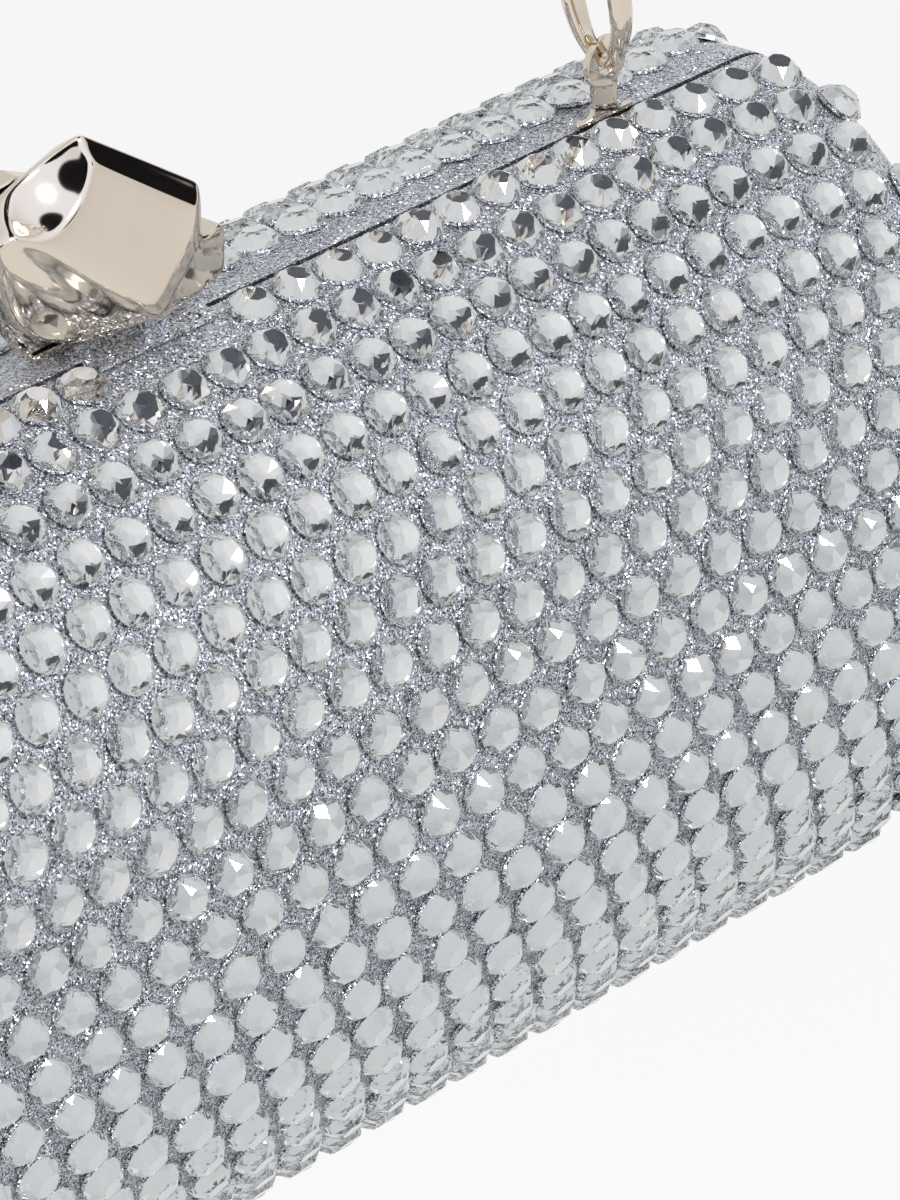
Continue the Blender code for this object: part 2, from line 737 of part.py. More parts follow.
def clasp_bracket(name, screw_bores, material, joint):
    """A plate on the front half with the lug that carries the lever's pin."""
    half = BRACKET_LENGTH / 2
    near = PIVOT_Y + BRACKET_WIDTH / 2
    top = BRACKET_BOTTOM + BRACKET_PLATE
    base = box(name, (-half, near - BRACKET_WIDTH, BRACKET_BOTTOM), (half, near, top))
    outline = [(PIVOT_Y - LUG_RADIUS, BRACKET_BOTTOM), (PIVOT_Y + LUG_RADIUS, BRACKET_BOTTOM)]
    outline += arc((PIVOT_Y, PIVOT_Z), LUG_RADIUS, 0, math.pi, ROUND_SIDES // 2)
    lug = plate(f"{name}_lug", outline, LUG_LENGTH, facing_side(0))
    half_bore = LUG_LENGTH / 2 + OVERRUN
    bore = rod(
        f"{name}_bore",
        PIVOT_PIN_RADIUS + PIN_CLEARANCE,
        (-half_bore, PIVOT_Y, PIVOT_Z),
        (half_bore, PIVOT_Y, PIVOT_Z),
    )
    join(base, lug)
    cut(base, bore, screw_bores)
    return keep(base, material, joint)


def clasp_pin(name, material, joint):
    half = PIVOT_PIN_LENGTH / 2
    pin = rod(name, PIVOT_PIN_RADIUS, (-half, PIVOT_Y, PIVOT_Z), (half, PIVOT_Y, PIVOT_Z))
    return keep(pin, material, joint)


def clasp_spring(name, material, joint):
    """A leaf on top of the lug that presses on the lever from inside."""
    foot = PIVOT_Z + LUG_RADIUS + FIT_GAP
    half = SPRING_WIDTH / 2
    low = (-half, PIVOT_Y, foot)
    high = (half, PIVOT_Y + SPRING_THICKNESS, foot + SPRING_HEIGHT)
    return keep(box(name, low, high), material, joint)


def screw_span(spacing, y, top):
    """Ends of a pair of screws that rise from inside the rim."""
    seat = -wall_z(RIM_INSET, y) - FIT_GAP
    return [((x, y, seat), (x, y, top)) for x in (-spacing / 2, spacing / 2)]


def headed_pin(name, start, end, radius, head_radius, head_thickness, material, joint):
    """A screw or rivet: a flat head just below the start and a shank up to the end."""
    low = (start[0], start[1], start[2] - head_thickness)
    pin = rod(name, radius, low, end)
    join(pin, rod(f"{name}_head", head_radius, low, start))
    return keep(pin, material, joint)


def screws(name, spans, material, joint):
    for side, (start, end) in zip(SIDES, spans):
        sizes = (SCREW_RADIUS, SCREW_HEAD_RADIUS, SCREW_HEAD_THICKNESS)
        headed_pin(f"{name}_{side}", start, end, *sizes, material, joint)


def screw_bores(name, spans):
    wide = SCREW_RADIUS + FIT_GAP
    longer = [((x, y, a - OVERRUN), (x, y, b + FIT_GAP)) for (x, y, a), (_, _, b) in spans]
    return rods(name, wide, longer)


def flange_top():
    """Height of the tab's flange, just under the rim's inner face at its back edge."""
    return -wall_z(RIM_INSET, HALF_SEAM + RIM_WIDTH) - FIT_GAP


def tab_outline(x):
    """Round head, neck and foot of a tab, seen from the front."""
    low = flange_top() - TAB_FLANGE_THICKNESS
    foot_z = HALF_HEIGHT + TAB_FOOT_RISE
    half_neck = TAB_NECK_WIDTH / 2
    half_foot = TAB_FOOT_WIDTH / 2
    meet = math.asin(half_neck / TAB_HEAD_RADIUS)
    start = -math.pi / 2 + meet
    head = arc((x, HOLE_Z), TAB_HEAD_RADIUS, start, start + 2 * math.pi - 2 * meet, ROUND_SIDES)
    left = [(x - half_neck, foot_z), (x - half_foot, foot_z), (x - half_foot, low)]
    right = [(2 * x - px, z) for px, z in reversed(left)]
    return head + left + right


def chain_tab(name, x, rivet_bores, material, joint):
    """A tab in the seam whose flange folds back under the rim, where a rivet holds it."""
    hole = arc((x, HOLE_Z), TAB_HOLE_RADIUS, 0, 2 * math.pi, ROUND_SIDES)[:-1]
    tab = plate(name, tab_outline(x), TAB_THICKNESS, facing_front(TAB_Y), [hole])
    half_foot = TAB_FOOT_WIDTH / 2
    low = (x - half_foot, TAB_Y, flange_top() - TAB_FLANGE_THICKNESS)
    high = (x + half_foot, HALF_SEAM + RIM_WIDTH, flange_top())
    flange = box(f"{name}_flange", low, high)
    join(tab, flange)
    cut(tab, rivet_bores)
    return keep(tab, material, joint)


def tab_notches(name):
    """The notches in the back half's edge that the tabs stand in."""
    bm = bmesh.new()
    for x in TAB_PLACES:
        half = TAB_FOOT_WIDTH / 2 + FIT_GAP
        size = (2 * half, TAB_BACK + OVERRUN, HALF_HEIGHT / 2)
        middle = (x, TAB_BACK - size[1] / 2, HALF_HEIGHT)
        place = Matrix.Translation(middle) @ Matrix.Diagonal((*size, 1))
        bmesh.ops.create_cube(bm, size=1, matrix=place)
    return from_bmesh(name, bm)


def tab_rivet_spans():
    y = TAB_BACK + FIT_GAP + TAB_RIVET_HEAD
    low = flange_top() - TAB_FLANGE_THICKNESS - FIT_GAP
    high = -wall_z(INNER_INSET, y) - FIT_GAP
    return [((x, y, low), (x, y, high)) for x in TAB_PLACES]


def tab_rivets(name, material, joint):
    for side, (start, end) in zip(SIDES, tab_rivet_spans()):
        sizes = (TAB_RIVET_RADIUS, TAB_RIVET_HEAD, TAB_RIVET_HEAD_THICKNESS)
        headed_pin(f"{name}_{side}", start, end, *sizes, material, joint)


def strap_lean():
    """Lean of the chain's straight sides that uses up its whole length over the round top."""
    low, high = math.radians(1), math.radians(60)
    for _ in range(60):
        lean = (low + high) / 2
        straight = (TAB_SPACING / 2 - HOLD_RADIUS * math.cos(lean)) / math.sin(lean)
        length = 2 * straight + HOLD_RADIUS * (math.pi - 2 * lean)
        low, high = (lean, high) if length > CHAIN_LENGTH else (low, lean)
    return lean, straight


def strap_point(distance):
    """A point of the chain's line, measured along it from the right-hand tab."""
    lean, straight = STRAP
    start = Vector((TAB_SPACING / 2, TAB_Y, HOLE_Z))
    along = Vector((-math.sin(lean), 0, math.cos(lean)))
    if distance > CHAIN_LENGTH / 2:
        point = strap_point(CHAIN_LENGTH - distance)
        return Vector((-point.x, point.y, point.z))
    if distance <= straight:
        return start + along * distance
    top = start + along * straight
    centre = top - HOLD_RADIUS * Vector((math.cos(lean), 0, math.sin(lean)))
    angle = lean + (distance - straight) / HOLD_RADIUS
    return centre + HOLD_RADIUS * Vector((math.cos(angle), 0, math.sin(angle)))


def link_shape():
    """One oval link standing in the YZ plane, its band widest along the straight sides."""
    bm = bmesh.new()
    rings = []
    half_long = WIRE_SPAN / 2
    half_wide = (LINK_WIDTH - LINK_WIRE) / 2
    for i in range(LINK_STATIONS):
        t = 2 * math.pi * i / LINK_STATIONS
        centre = Vector((0, half_wide * math.cos(t), half_long * math.sin(t)))
        outward = Vector((0, half_long * math.cos(t), half_wide * math.sin(t))).normalized()
        band = LINK_WIRE + (LINK_BAND - LINK_WIRE) * math.cos(t) ** 2
        ring = []
        for across_share, out_share in ((-1, 0), (-0.5, 1), (0.5, 1), (1, 0), (0.5, -1), (-0.5, -1)):
            side = Vector((across_share * band / 2, 0, 0))
            ring.append(bm.verts.new(centre + side + outward * out_share * LINK_WIRE / 2))
        rings.append(ring)
    for ring, following in zip(rings, rings[1:] + rings[:1]):
        for j in range(len(ring)):
            k = (j + 1) % len(ring)
            bm.faces.new((ring[j], ring[k], following[k], following[j]))
    return bm


def link_matrix(index):
    start = strap_point(index * LINK_PITCH)
    end = strap_point(index * LINK_PITCH + WIRE_SPAN)
    along = (end - start).normalized()
    back = Vector((0, 1, 0))
    across = back.cross(along)
    turn = Matrix((across, back, along)).transposed().to_4x4()
    quarter = Matrix.Rotation(math.radians(90) * (index % 2), 4, "Z")
    return Matrix.Translation((start + end) / 2) @ turn @ quarter


def chain_link(name, index, material, joint):
    link = link_shape()
    link.transform(link_matrix(index))
    return keep(from_bmesh(name, link), material, joint)


def front_half(joint, spans):
    bores = screw_bores("bracket_screw_bores", spans)
    slot = hinge_slot("front_slot")
    skin("skin_front", -1, (slot, bores), GLITTER, joint)
    shell("shell_front", -1, (slot, bores), RESIN, joint)
    rim("rim_front", -1, (bores,), STEEL, joint)
    lining("lining_front", -1, CLOTH, joint)
    hinge_leaf("hinge_leaf_front", -1, STEEL, joint)
    clasp_bracket("clasp_bracket", bores, NICKEL, joint)
    screws("bracket_screw", spans, STEEL, joint)
    clasp_pin("clasp_pin", STEEL, joint)
    clasp_spring("clasp_spring", STEEL, joint)


def back_half(joint, spans):
    bores = screw_bores("keeper_screw_bores", spans)
    slot = hinge_slot("back_slot")
    notches = tab_notches("tab_notches")
    tab_bores = rods("tab_rivet_bores", TAB_RIVET_RADIUS + PIN_CLEARANCE, tab_rivet_spans())
    skin("skin_back", 1, (slot, bores, notches), GLITTER, joint)
    shell("shell_back", 1, (slot, bores, notches), RESIN, joint)
    rim("rim_back", 1, (bores, notches, tab_bores), STEEL, joint)
    lining("lining_back", 1, CLOTH, joint)
    slip_pocket("slip_pocket", CLOTH, joint)
    hinge_leaf("hinge_leaf_back", 1, STEEL, joint)
    half = HINGE_LENGTH / 2
    pin = rod("hinge_pin", HINGE_PIN_RADIUS, (-half, 0, HINGE_Z), (half, 0, HINGE_Z))
    keep(pin, STEEL, joint)
    clasp_keeper("clasp_keeper", bores, NICKEL, joint)
    keeper_stud("keeper_stud", STEEL, joint)
    screws("keeper_screw", spans, STEEL, joint)
    for side, x in zip(SIDES, TAB_PLACES):
        chain_tab(f"chain_tab_{side}", x, tab_bores, NICKEL, joint)
    tab_rivets("tab_rivet", STEEL, joint)


def chain(joint):
    for index in range(LINK_COUNT):
        chain_link(f"chain_link_{index + 1:02d}", index, NICKEL, joint)


for old in list(bpy.data.objects):
    bpy.data.objects.remove(old)

CLUTCH = new_collection("clutch_bag")
CUTTERS = new_collection("cutters", hidden=True)
GLITTER = new_material("glitter_fabric", (0.42, 0.43, 0.50), 0.45, 0.4)
RESIN = new_material("shell_resin", (0.55, 0.55, 0.57), 0.5)
CLOTH = new_material("lining_cloth", (0.45, 0.45, 0.48), 0.85)
STEEL = new_material("steel", (0.60, 0.60, 0.60), 0.3, 1.0)
NICKEL = new_material("polished_nickel", (0.78, 0.74, 0.68), 0.12, 1.0)

SIDES = ("left", "right")
SECTION = measured_section()
STRAP = strap_lean()
TAB_PLACES = (-TAB_SPACING / 2, TAB_SPACING / 2)
HOLD = strap_point(CHAIN_LENGTH / 2)
HINGE_PLACE = Vector((0, 0, HINGE_Z))
PIVOT_PLACE = Vector((0, PIVOT_Y, PIVOT_Z))
BAG = new_empty("bag_centre", -HOLD)
HINGE = new_empty("front_hinge", HINGE_PLACE, BAG)
PIVOT = new_empty("clasp_pivot", PIVOT_PLACE - HINGE_PLACE, HINGE)
ROOT_JOINT = (Vector(), BAG)
HINGE_JOINT = (HINGE_PLACE, HINGE)
CLASP_JOINT = (PIVOT_PLACE, PIVOT)

BRACKET_TOP = BRACKET_BOTTOM + BRACKET_PLATE
front_half(HINGE_JOINT, screw_span(BRACKET_SCREW_SPACING, PIVOT_Y, BRACKET_TOP))
back_half(ROOT_JOINT, screw_span(KEEPER_SCREW_SPACING, KEEPER_MIDDLE, BRACKET_BOTTOM + KEEPER_SCREW_DEPTH))
clasp_lever("clasp_lever", NICKEL, CLASP_JOINT)
chain(ROOT_JOINT)

print("bag centre", tuple(round(v, 6) for v in BAG.location))
print("hinge axis", tuple(round(v, 6) for v in BAG.location + HINGE_PLACE))
print("clasp axis", tuple(round(v, 6) for v in BAG.location + PIVOT_PLACE))
print("chain length", round(CHAIN_LENGTH, 4), "lean", round(math.degrees(STRAP[0]), 2))
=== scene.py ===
"""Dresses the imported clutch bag: crystals, glitter cloth, lining, clasp, tabs, chain and stage.
It is laid out as an add-on and run as a script. Sizes are in metres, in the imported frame."""

import bisect
import math
import random

import bmesh
import bpy
import numpy
from mathutils import Matrix, Vector


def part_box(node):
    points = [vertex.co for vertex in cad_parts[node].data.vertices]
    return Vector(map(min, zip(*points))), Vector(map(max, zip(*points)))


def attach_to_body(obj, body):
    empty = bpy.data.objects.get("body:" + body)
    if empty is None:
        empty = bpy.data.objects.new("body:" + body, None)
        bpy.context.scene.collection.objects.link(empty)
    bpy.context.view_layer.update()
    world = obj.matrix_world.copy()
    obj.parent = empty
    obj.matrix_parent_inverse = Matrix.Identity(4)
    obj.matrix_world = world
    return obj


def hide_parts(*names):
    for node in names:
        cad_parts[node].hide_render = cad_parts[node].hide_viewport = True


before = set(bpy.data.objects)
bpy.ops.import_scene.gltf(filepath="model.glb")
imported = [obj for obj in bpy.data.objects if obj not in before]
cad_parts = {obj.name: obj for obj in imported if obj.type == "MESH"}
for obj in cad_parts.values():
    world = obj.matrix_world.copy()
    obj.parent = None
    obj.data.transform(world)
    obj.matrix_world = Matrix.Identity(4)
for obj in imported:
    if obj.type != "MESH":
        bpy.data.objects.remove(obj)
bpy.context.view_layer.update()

bl_info = {
    "name": "Crystal clutch bag",
    "version": (1, 0, 0),
    "blender": (4, 5, 0),
    "location": "3D View > Sidebar > Clutch",
    "description": "Builds the crystals, cloth, clasp and chain of a hinged evening clutch",
    "category": "Object",
}

CENTRE = Vector((0.0, -0.00035, -0.244667))
FRONT, BACK = -1, 1
HALVES = {FRONT: "front", BACK: "back"}
MERGE = 0.00001


def length(name, default, description):
    return bpy.props.FloatProperty(
        name=name, default=default, description=description, unit="LENGTH", precision=5
    )


def count(name, default, description):
    return bpy.props.IntProperty(name=name, default=default, description=description)


class PodSizes(bpy.types.PropertyGroup):
    """The bag's rounded case, over its cloth."""

    half_length: length("Half length", 0.0875, "From the middle to an end")
    half_depth: length("Half depth", 0.0314, "From the seam plane to the front")
    half_height: length("Half height", 0.0432, "From the middle to the top seam")
    end_rounding: length("End rounding", 0.0068, "Radius of the rounding at both ends")
    cloth: length("Cloth", 0.0007, "Thickness of the glitter cloth")
    seam_roll: length("Seam roll", 0.00045, "Rounding of the cloth into the seam")
    edge: length("Edge", 0.0003, "From the seam plane to the cloth")
    slot: length("Slot", 0.0020, "From the seam plane to the cloth beside the hinge")
    slot_top: length("Slot top", -0.0391, "From the case's middle down to the hinge's slot")


class StoneSizes(bpy.types.PropertyGroup):
    """The glued crystals."""

    diameter: length("Diameter", 0.0049, "Across the girdle")
    height: length("Height", 0.00185, "From the foil to the table")
    row_step: length("Row step", 0.00508, "From one row to the next round the bag")
    first_row: length("First row", 0.0033, "From the seam to the first row on the front")
    back_row: length("Back row", 0.0060, "From the seam to the first row on the back")
    pitch: length("Pitch", 0.0056, "From one crystal to the next along a row")
    reach: length("Reach", 0.0858, "From the middle to the last column")
    uneven: length("Unevenness", 0.00012, "How far a crystal strays from its place")
    rows: count("Rows", 22, "Rows on each half")
    seed: count("Seed", 7, "Seed of the small unevenness")


class InsideSizes(bpy.types.PropertyGroup):
    """The satin lining."""

    inset: length("Inset", 0.0034, "From the cloth's outside to the satin")
    edge: length("Edge", 0.0053, "From the seam plane to the satin, past the metal frame")
    slot: length("Slot", 0.0095, "From the seam plane to the satin at the hinge")
    slot_top: length("Slot top", -0.0350, "From the case's middle down to the hinge's room")
    satin: length("Satin", 0.0005, "Thickness of the satin")
    sag: length("Sag", 0.0006, "How far the satin stands off the shell")


class ChainSizes(bpy.types.PropertyGroup):
    """The chain strap, from tab to tab."""

    link_length: length("Link length", 0.0170, "Over one link")
    link_width: length("Link width", 0.0075, "Across one link")
    wire: length("Wire", 0.0013, "Thickness of a link")
    band: length("Band", 0.0028, "Width of a link's straight sides")
    gap: length("Gap", 0.0006, "Play from one link to the next")
    count: count("Links", 31, "Number of links")
    spread: length("Spread", 0.0616, "From the bag's middle to a tab")
    hole: length("Hole", -0.195567, "Height of the tabs' holes")
    hold: length("Hold", 0.028, "Radius of the chain's top, where it is held")
    lean: bpy.props.FloatProperty(name="Lean", default=11.16, description="Sides' lean, degrees")


class TabSizes(bpy.types.PropertyGroup):
    """The tabs that stand in the seam."""

    head: length("Head", 0.00265, "Radius of the round head")
    hole: length("Hole", 0.0011, "Radius of the hole")
    neck: length("Neck", 0.0032, "Width of the neck")
    foot: length("Foot", 0.0076, "Width of the foot")
    foot_rise: length("Foot rise", -0.0053, "From the hole down to the foot")
    fillet: length("Fillet", 0.0004, "Cut between neck and foot")
    thickness: length("Thickness", 0.0007, "Thickness of the metal")
    edge: length("Edge", 0.00012, "Rounding of the edges")


class ClaspSizes(bpy.types.PropertyGroup):
    """The sculpted front piece of the clasp."""

    width: length("Width", 0.0296, "Over the front piece")
    left: length("Left", 0.0194, "From the bag's middle to its left end")
    height: length("Height", 0.0214, "From its foot to its peak")
    depth: length("Depth", 0.0040, "From the seam plane to its front face")
    back: length("Back", 0.0019, "From the seam plane to its back face")
    foot: length("Foot", -0.199667, "Height of its foot")
    rounding: length("Rounding", 0.00015, "Softness of its edges")
    lip: length("Lip", 0.00024, "Softness of the hollow's rim")
    scoop: length("Hollow", 0.0076, "Radius of the hollow")
    flute: length("Flute", 0.0034, "Radius of the long shallow hollow under the ridge")
    cove: length("Cove", 0.0030, "Radius of the cove below the front face")
    stud: length("Stud", 0.0015, "Radius of the hole for the keeper's stud")
    grain: length("Grain", 0.00018, "Size of the mesh's faces")


class StageLook(bpy.types.PropertyGroup):
    """Camera, lamps and background."""

    lens: bpy.props.FloatProperty(name="Lens", default=297.65, description="Focal length, mm")
    eye: bpy.props.FloatVectorProperty(
        name="Eye", default=(-0.40986, -0.41684, 0.10181), description="Place of the camera"
    )
    background: bpy.props.FloatVectorProperty(
        name="Background",
        default=(0.93, 0.93, 0.93),
        description="Floor and sky as the camera sees them",
        subtype="COLOR",
    )
    drop: length("Drop", 0.22, "From the bag down to the floor")
    sky: bpy.props.FloatProperty(name="Sky", default=0.55, description="Strength of its light")
    bounces: count("Bounces", 24, "Turns of the light inside a foiled crystal")


class Term:
    """A socket or a number in a shader sum; Python's operators add the Math nodes."""

    def __init__(self, shader, value):
        self.shader = shader
        self.value = value

    def math(self, operation, *others):
        return self.shader.node("Math", {"operation": operation}, self, *others)

    def __add__(self, other):
        return self.math("ADD", other)

    def __mul__(self, other):
        return self.math("MULTIPLY", other)

    def __rsub__(self, other):
        return Term(self.shader, other).math("SUBTRACT", self)

    __radd__ = __add__
    __rmul__ = __mul__

    def clamped(self):
        return self.math("MAXIMUM", 0.0).math("MINIMUM", 1.0)


def new_node(tree, kind, settings, values, named, out):
    """Adds a node: its settings first, then values by the order or the name of its live sockets."""
    node = tree.nodes.new(kind)
    settings = dict(settings or {})
    stops = settings.pop("stops", ())
    for key, value in settings.items():
        setattr(node, key, value)
    for _ in stops[2:]:
        node.color_ramp.elements.new(0.5)
    for i, (place, rgb) in enumerate(stops):
        node.color_ramp.elements[i].position = place
        node.color_ramp.elements[i].color = (*rgb, 1.0)
    live = [socket for socket in node.inputs if socket.enabled]
    by_name = {socket.name: socket for socket in reversed(live)}
    pairs = [(by_name[key.replace("_", " ")], value) for key, value in named.items()]
    for socket, value in [*zip(live, values), *pairs]:
        value = value.value if isinstance(value, Term) else value
        if isinstance(value, bpy.types.NodeSocket):
            tree.links.new(value, socket)
        elif isinstance(value, tuple):
            socket.default_value = (*value, 1.0)[: len(socket.default_value)]
        else:
            socket.default_value = value
    if isinstance(out, str):
        return node.outputs[out]
    return [socket for socket in node.outputs if socket.enabled][out]


class Shader:
    """A material or world with its node tree, written as sums of terms."""

    def __init__(self, name, world=False):
        blocks = bpy.data.worlds if world else bpy.data.materials
        self.block = blocks.new(name)
        self.block.use_nodes = True
        self.tree = self.block.node_tree
        self.tree.nodes.clear()
        kind = "World" if world else "Material"
        self.output = self.tree.nodes.new(f"ShaderNodeOutput{kind}")

    def node(self, kind, settings=None, *values, out=0, **named):
        return Term(self, new_node(self.tree, f"ShaderNode{kind}", settings, values, named, out))

    def place(self):
        return self.node("TexCoord", out="Object")

    def path(self, kind):
        return self.node("LightPath", out=f"Is {kind} Ray")

    def vector(self, operation, *values, **named):
        return self.node("VectorMath", {"operation": operation}, *values, **named)

    def mix(self, factor, first, second):
        return self.node("Mix", {"data_type": "RGBA"}, factor, first, second)

    def noise(self, scale, detail=2.0, place=None):
        return self.node("TexNoise", Vector=place or self.place(), Scale=scale, Detail=detail)

    def ramp(self, factor, *stops):
        return self.node("ValToRGB", {"stops": stops}, factor)

    def remap(self, value, low, high, to_low=0.0, to_high=1.0, way="LINEAR"):
        return self.node("MapRange", {"interpolation_type": way}, value, low, high, to_low, to_high)

    def bump(self, height, strength, distance):
        return self.node("Bump", Strength=strength, Distance=distance, Height=height)

    def principled(self, **named):
        return self.node("BsdfPrincipled", **named)

    def either(self, factor, first, second):
        return self.node("MixShader", None, factor, first, second)

    def finish(self, surface=None, **named):
        surface = surface or self.principled(**named)
        self.tree.links.new(surface.value, self.output.inputs["Surface"])
        return self.block


def glitter_cloth():
    """Cloth with loose silver flakes: each small cell faces its own way."""
    s = Shader("glitter_cloth")
    fine, coarse = (
        s.node("TexVoronoi", Vector=s.place(), Scale=scale, out="Color")
        for scale in (6400.0, 4200.0)
    )
    lean = s.vector("SCALE", s.vector("SUBTRACT", fine, (0.5, 0.5, 0.5)), Scale=1.5)
    facing = s.vector("ADD", s.node("NewGeometry", out="Normal"), lean)
    pick = s.node("SeparateColor", None, fine, out="Red")
    tone = s.node("SeparateColor", None, coarse, out="Green")
    base = s.ramp(
        pick,
        (0.0, (0.01, 0.01, 0.015)),
        (0.17, (0.04, 0.04, 0.05)),
        (0.25, (0.42, 0.43, 0.46)),
        (0.80, (0.62, 0.64, 0.67)),
        (0.93, (1.0, 1.0, 1.0)),
    )
    return s.finish(
        Base_Color=s.mix(tone * 0.15, base, (0.62, 0.64, 0.74)),
        Metallic=s.remap(pick, 0.15, 0.6, 0.3, 0.9),
        Roughness=s.remap(tone, 0.0, 1.0, 0.16, 0.42),
        Normal=s.vector("NORMALIZE", facing),
    )


def cut_edge():
    """The cloth's cut edge inside the seam: dark backing with a few stray flakes, painted nearly
    black to stand for the shade in the seam's gap.
    """
    s = Shader("cut_edge")
    stray = s.noise(4200.0)
    # Painted shade: most of the edge is near black, standing in for the shadow inside the seam's
    # gap
    base = s.ramp(stray, (0.55, (0.012, 0.012, 0.016)), (0.72, (0.30, 0.31, 0.35)))
    return s.finish(Base_Color=base, Roughness=0.6, Normal=s.bump(stray, 0.3, 0.0001))


def cut_glass():
    """Clear crystal that lets a part of the lamps' light through to the cloth round its foil."""
    s = Shader("cut_glass")
    glass = s.principled(
        Base_Color=(0.965, 0.982, 1.0),
        Roughness=0.0,
        IOR=1.55,
        Specular_IOR_Level=0.3,
        Transmission_Weight=1.0,
    )
    clear = s.node("BsdfTransparent", Color=(0.36, 0.38, 0.42))
    return s.finish(s.either(s.path("Shadow"), glass, clear))


def stone_foil():
    """Bright silver foil with faint clouds of age."""
    s = Shader("stone_foil")
    tint = s.ramp(s.noise(900.0), (0.3, (0.86, 0.87, 0.875)), (0.7, (0.91, 0.91, 0.90)))
    return s.finish(Base_Color=tint, Metallic=1.0, Roughness=0.03)


def polished_nickel(name="polished_nickel"):
    """Mirror metal with faint polishing marks and a few soft smudges."""
    s = Shader(name)
    tint = (0.71, 0.625, 0.525)
    smudge = s.noise(90.0, 3.0)
    return s.finish(
        Base_Color=s.mix(s.remap(smudge, 0.3, 0.7), tint, tuple(0.94 * c for c in tint)),
        Metallic=1.0,
        Roughness=s.remap(smudge, 0.35, 0.75, 0.05, 0.10),
        Normal=s.bump(s.noise(1500.0, 3.0), 0.04, 0.00002),
    )


def brushed_steel():
    """Steel with fine lines along the bag."""
    s = Shader("brushed_steel")
    stretched = s.node("Mapping", Vector=s.place(), Scale=(40.0, 4000.0, 4000.0))
    grain = s.noise(1.0, 3.0, stretched)
    return s.finish(
        Base_Color=s.ramp(grain, (0.3, (0.55, 0.54, 0.53)), (0.7, (0.66, 0.65, 0.63))),
        Metallic=1.0,
        Roughness=s.remap(grain, 0.3, 0.7, 0.24, 0.38),
        Normal=s.bump(grain, 0.08, 0.00003),
    )


def moulded_resin():
    """Dark resin of the shells with a fine moulded grain; its near-black tone is also painted
    shade, so that the seam between the halves reads dark.
    """
    s = Shader("moulded_resin")
    grain = s.noise(700.0, 4.0)
    # Painted shade: the resin is kept near black so the gap of the seam looks shadowed
    base = s.ramp(grain, (0.3, (0.035, 0.035, 0.038)), (0.7, (0.055, 0.055, 0.06)))
    return s.finish(Base_Color=base, Roughness=0.5, Normal=s.bump(grain, 0.15, 0.0001))


def satin_lining():
    """Silver-grey satin: fine twill lines and a soft sheen."""
    s = Shader("satin_lining")
    twill = {"wave_type": "BANDS", "bands_direction": "DIAGONAL"}
    weave = s.node(
        "TexWave", twill, Vector=s.place(), Scale=900.0, Distortion=0.6, Detail=1.0, out="Fac"
    )
    cloud = s.noise(60.0, 4.0)
    base = s.ramp(cloud, (0.3, (0.34, 0.34, 0.38)), (0.7, (0.42, 0.42, 0.46)))
    return s.finish(
        Base_Color=s.mix(weave * 0.12, base, (0.55, 0.55, 0.60)),
        Roughness=0.42,
        Normal=s.bump(weave + cloud * 0.6, 0.2, 0.00008),
        Sheen_Weight=0.2,
    )


def floor_paper(tint):
    """Pale paper that glows for the camera and in mirrors, and keeps the bag's shadow."""
    s = Shader("paper")
    through = s.path("Transmission")
    tone = s.mix(through, tint, tuple(0.57 * c for c in tint))
    glow = s.node("Emission", Color=tone, Strength=1.0)
    seen = (s.path("Camera") + s.path("Glossy") + through).clamped() * 0.85
    return s.finish(s.either(seen, s.principled(Base_Color=tint, Roughness=0.8), glow))


def new_piece(name, data):
    obj = bpy.data.objects.new(name, data)
    bpy.context.scene.collection.objects.link(obj)
    return obj


def smooth(mesh, sharp_angle):
    mesh.shade_smooth()
    mesh.set_sharp_from_angle(angle=math.radians(sharp_angle))


def mesh_piece(name, bm, sharp_angle=None):
    mesh = bpy.data.meshes.new(name)
    bm.to_mesh(mesh)
    bm.free()
    if sharp_angle is not None:
        smooth(mesh, sharp_angle)
    return new_piece(name, mesh)


def baked(obj):
    """The evaluated mesh of an object as a plain piece of its name; the object itself goes."""
    bpy.context.view_layer.update()
    graph = bpy.context.evaluated_depsgraph_get()
    mesh = bpy.data.meshes.new_from_object(obj.evaluated_get(graph))
    name = obj.name
    bpy.data.objects.remove(obj)
    mesh.name = name
    return new_piece(name, mesh)


def attach(obj, body, slot, *replaced):
    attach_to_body(obj, body)
    if replaced:
        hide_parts(*replaced)


def dress(node, material):
    """Gives a CAD node that stays in view its procedural material."""
    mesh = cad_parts[node].data
    mesh.materials.clear()
    mesh.materials.append(material)


def arc(radius, start, end, steps):
    """Points of an arc, both ends among them."""
    angles = [start + (end - start) * i / steps for i in range(steps + 1)]
    return [(radius * math.cos(a), radius * math.sin(a)) for a in angles]


def half_ellipse(across, up, steps):
    """Points of half an ellipse from its top down, and the way gone at each."""
    angles = [math.pi * i / steps for i in range(steps + 1)]
    points = [(across * math.sin(a), up * math.cos(a)) for a in angles]
    gone = [0.0]
    for last, point in zip(points, points[1:]):
        gone.append(gone[-1] + math.dist(last, point))
    return points, gone


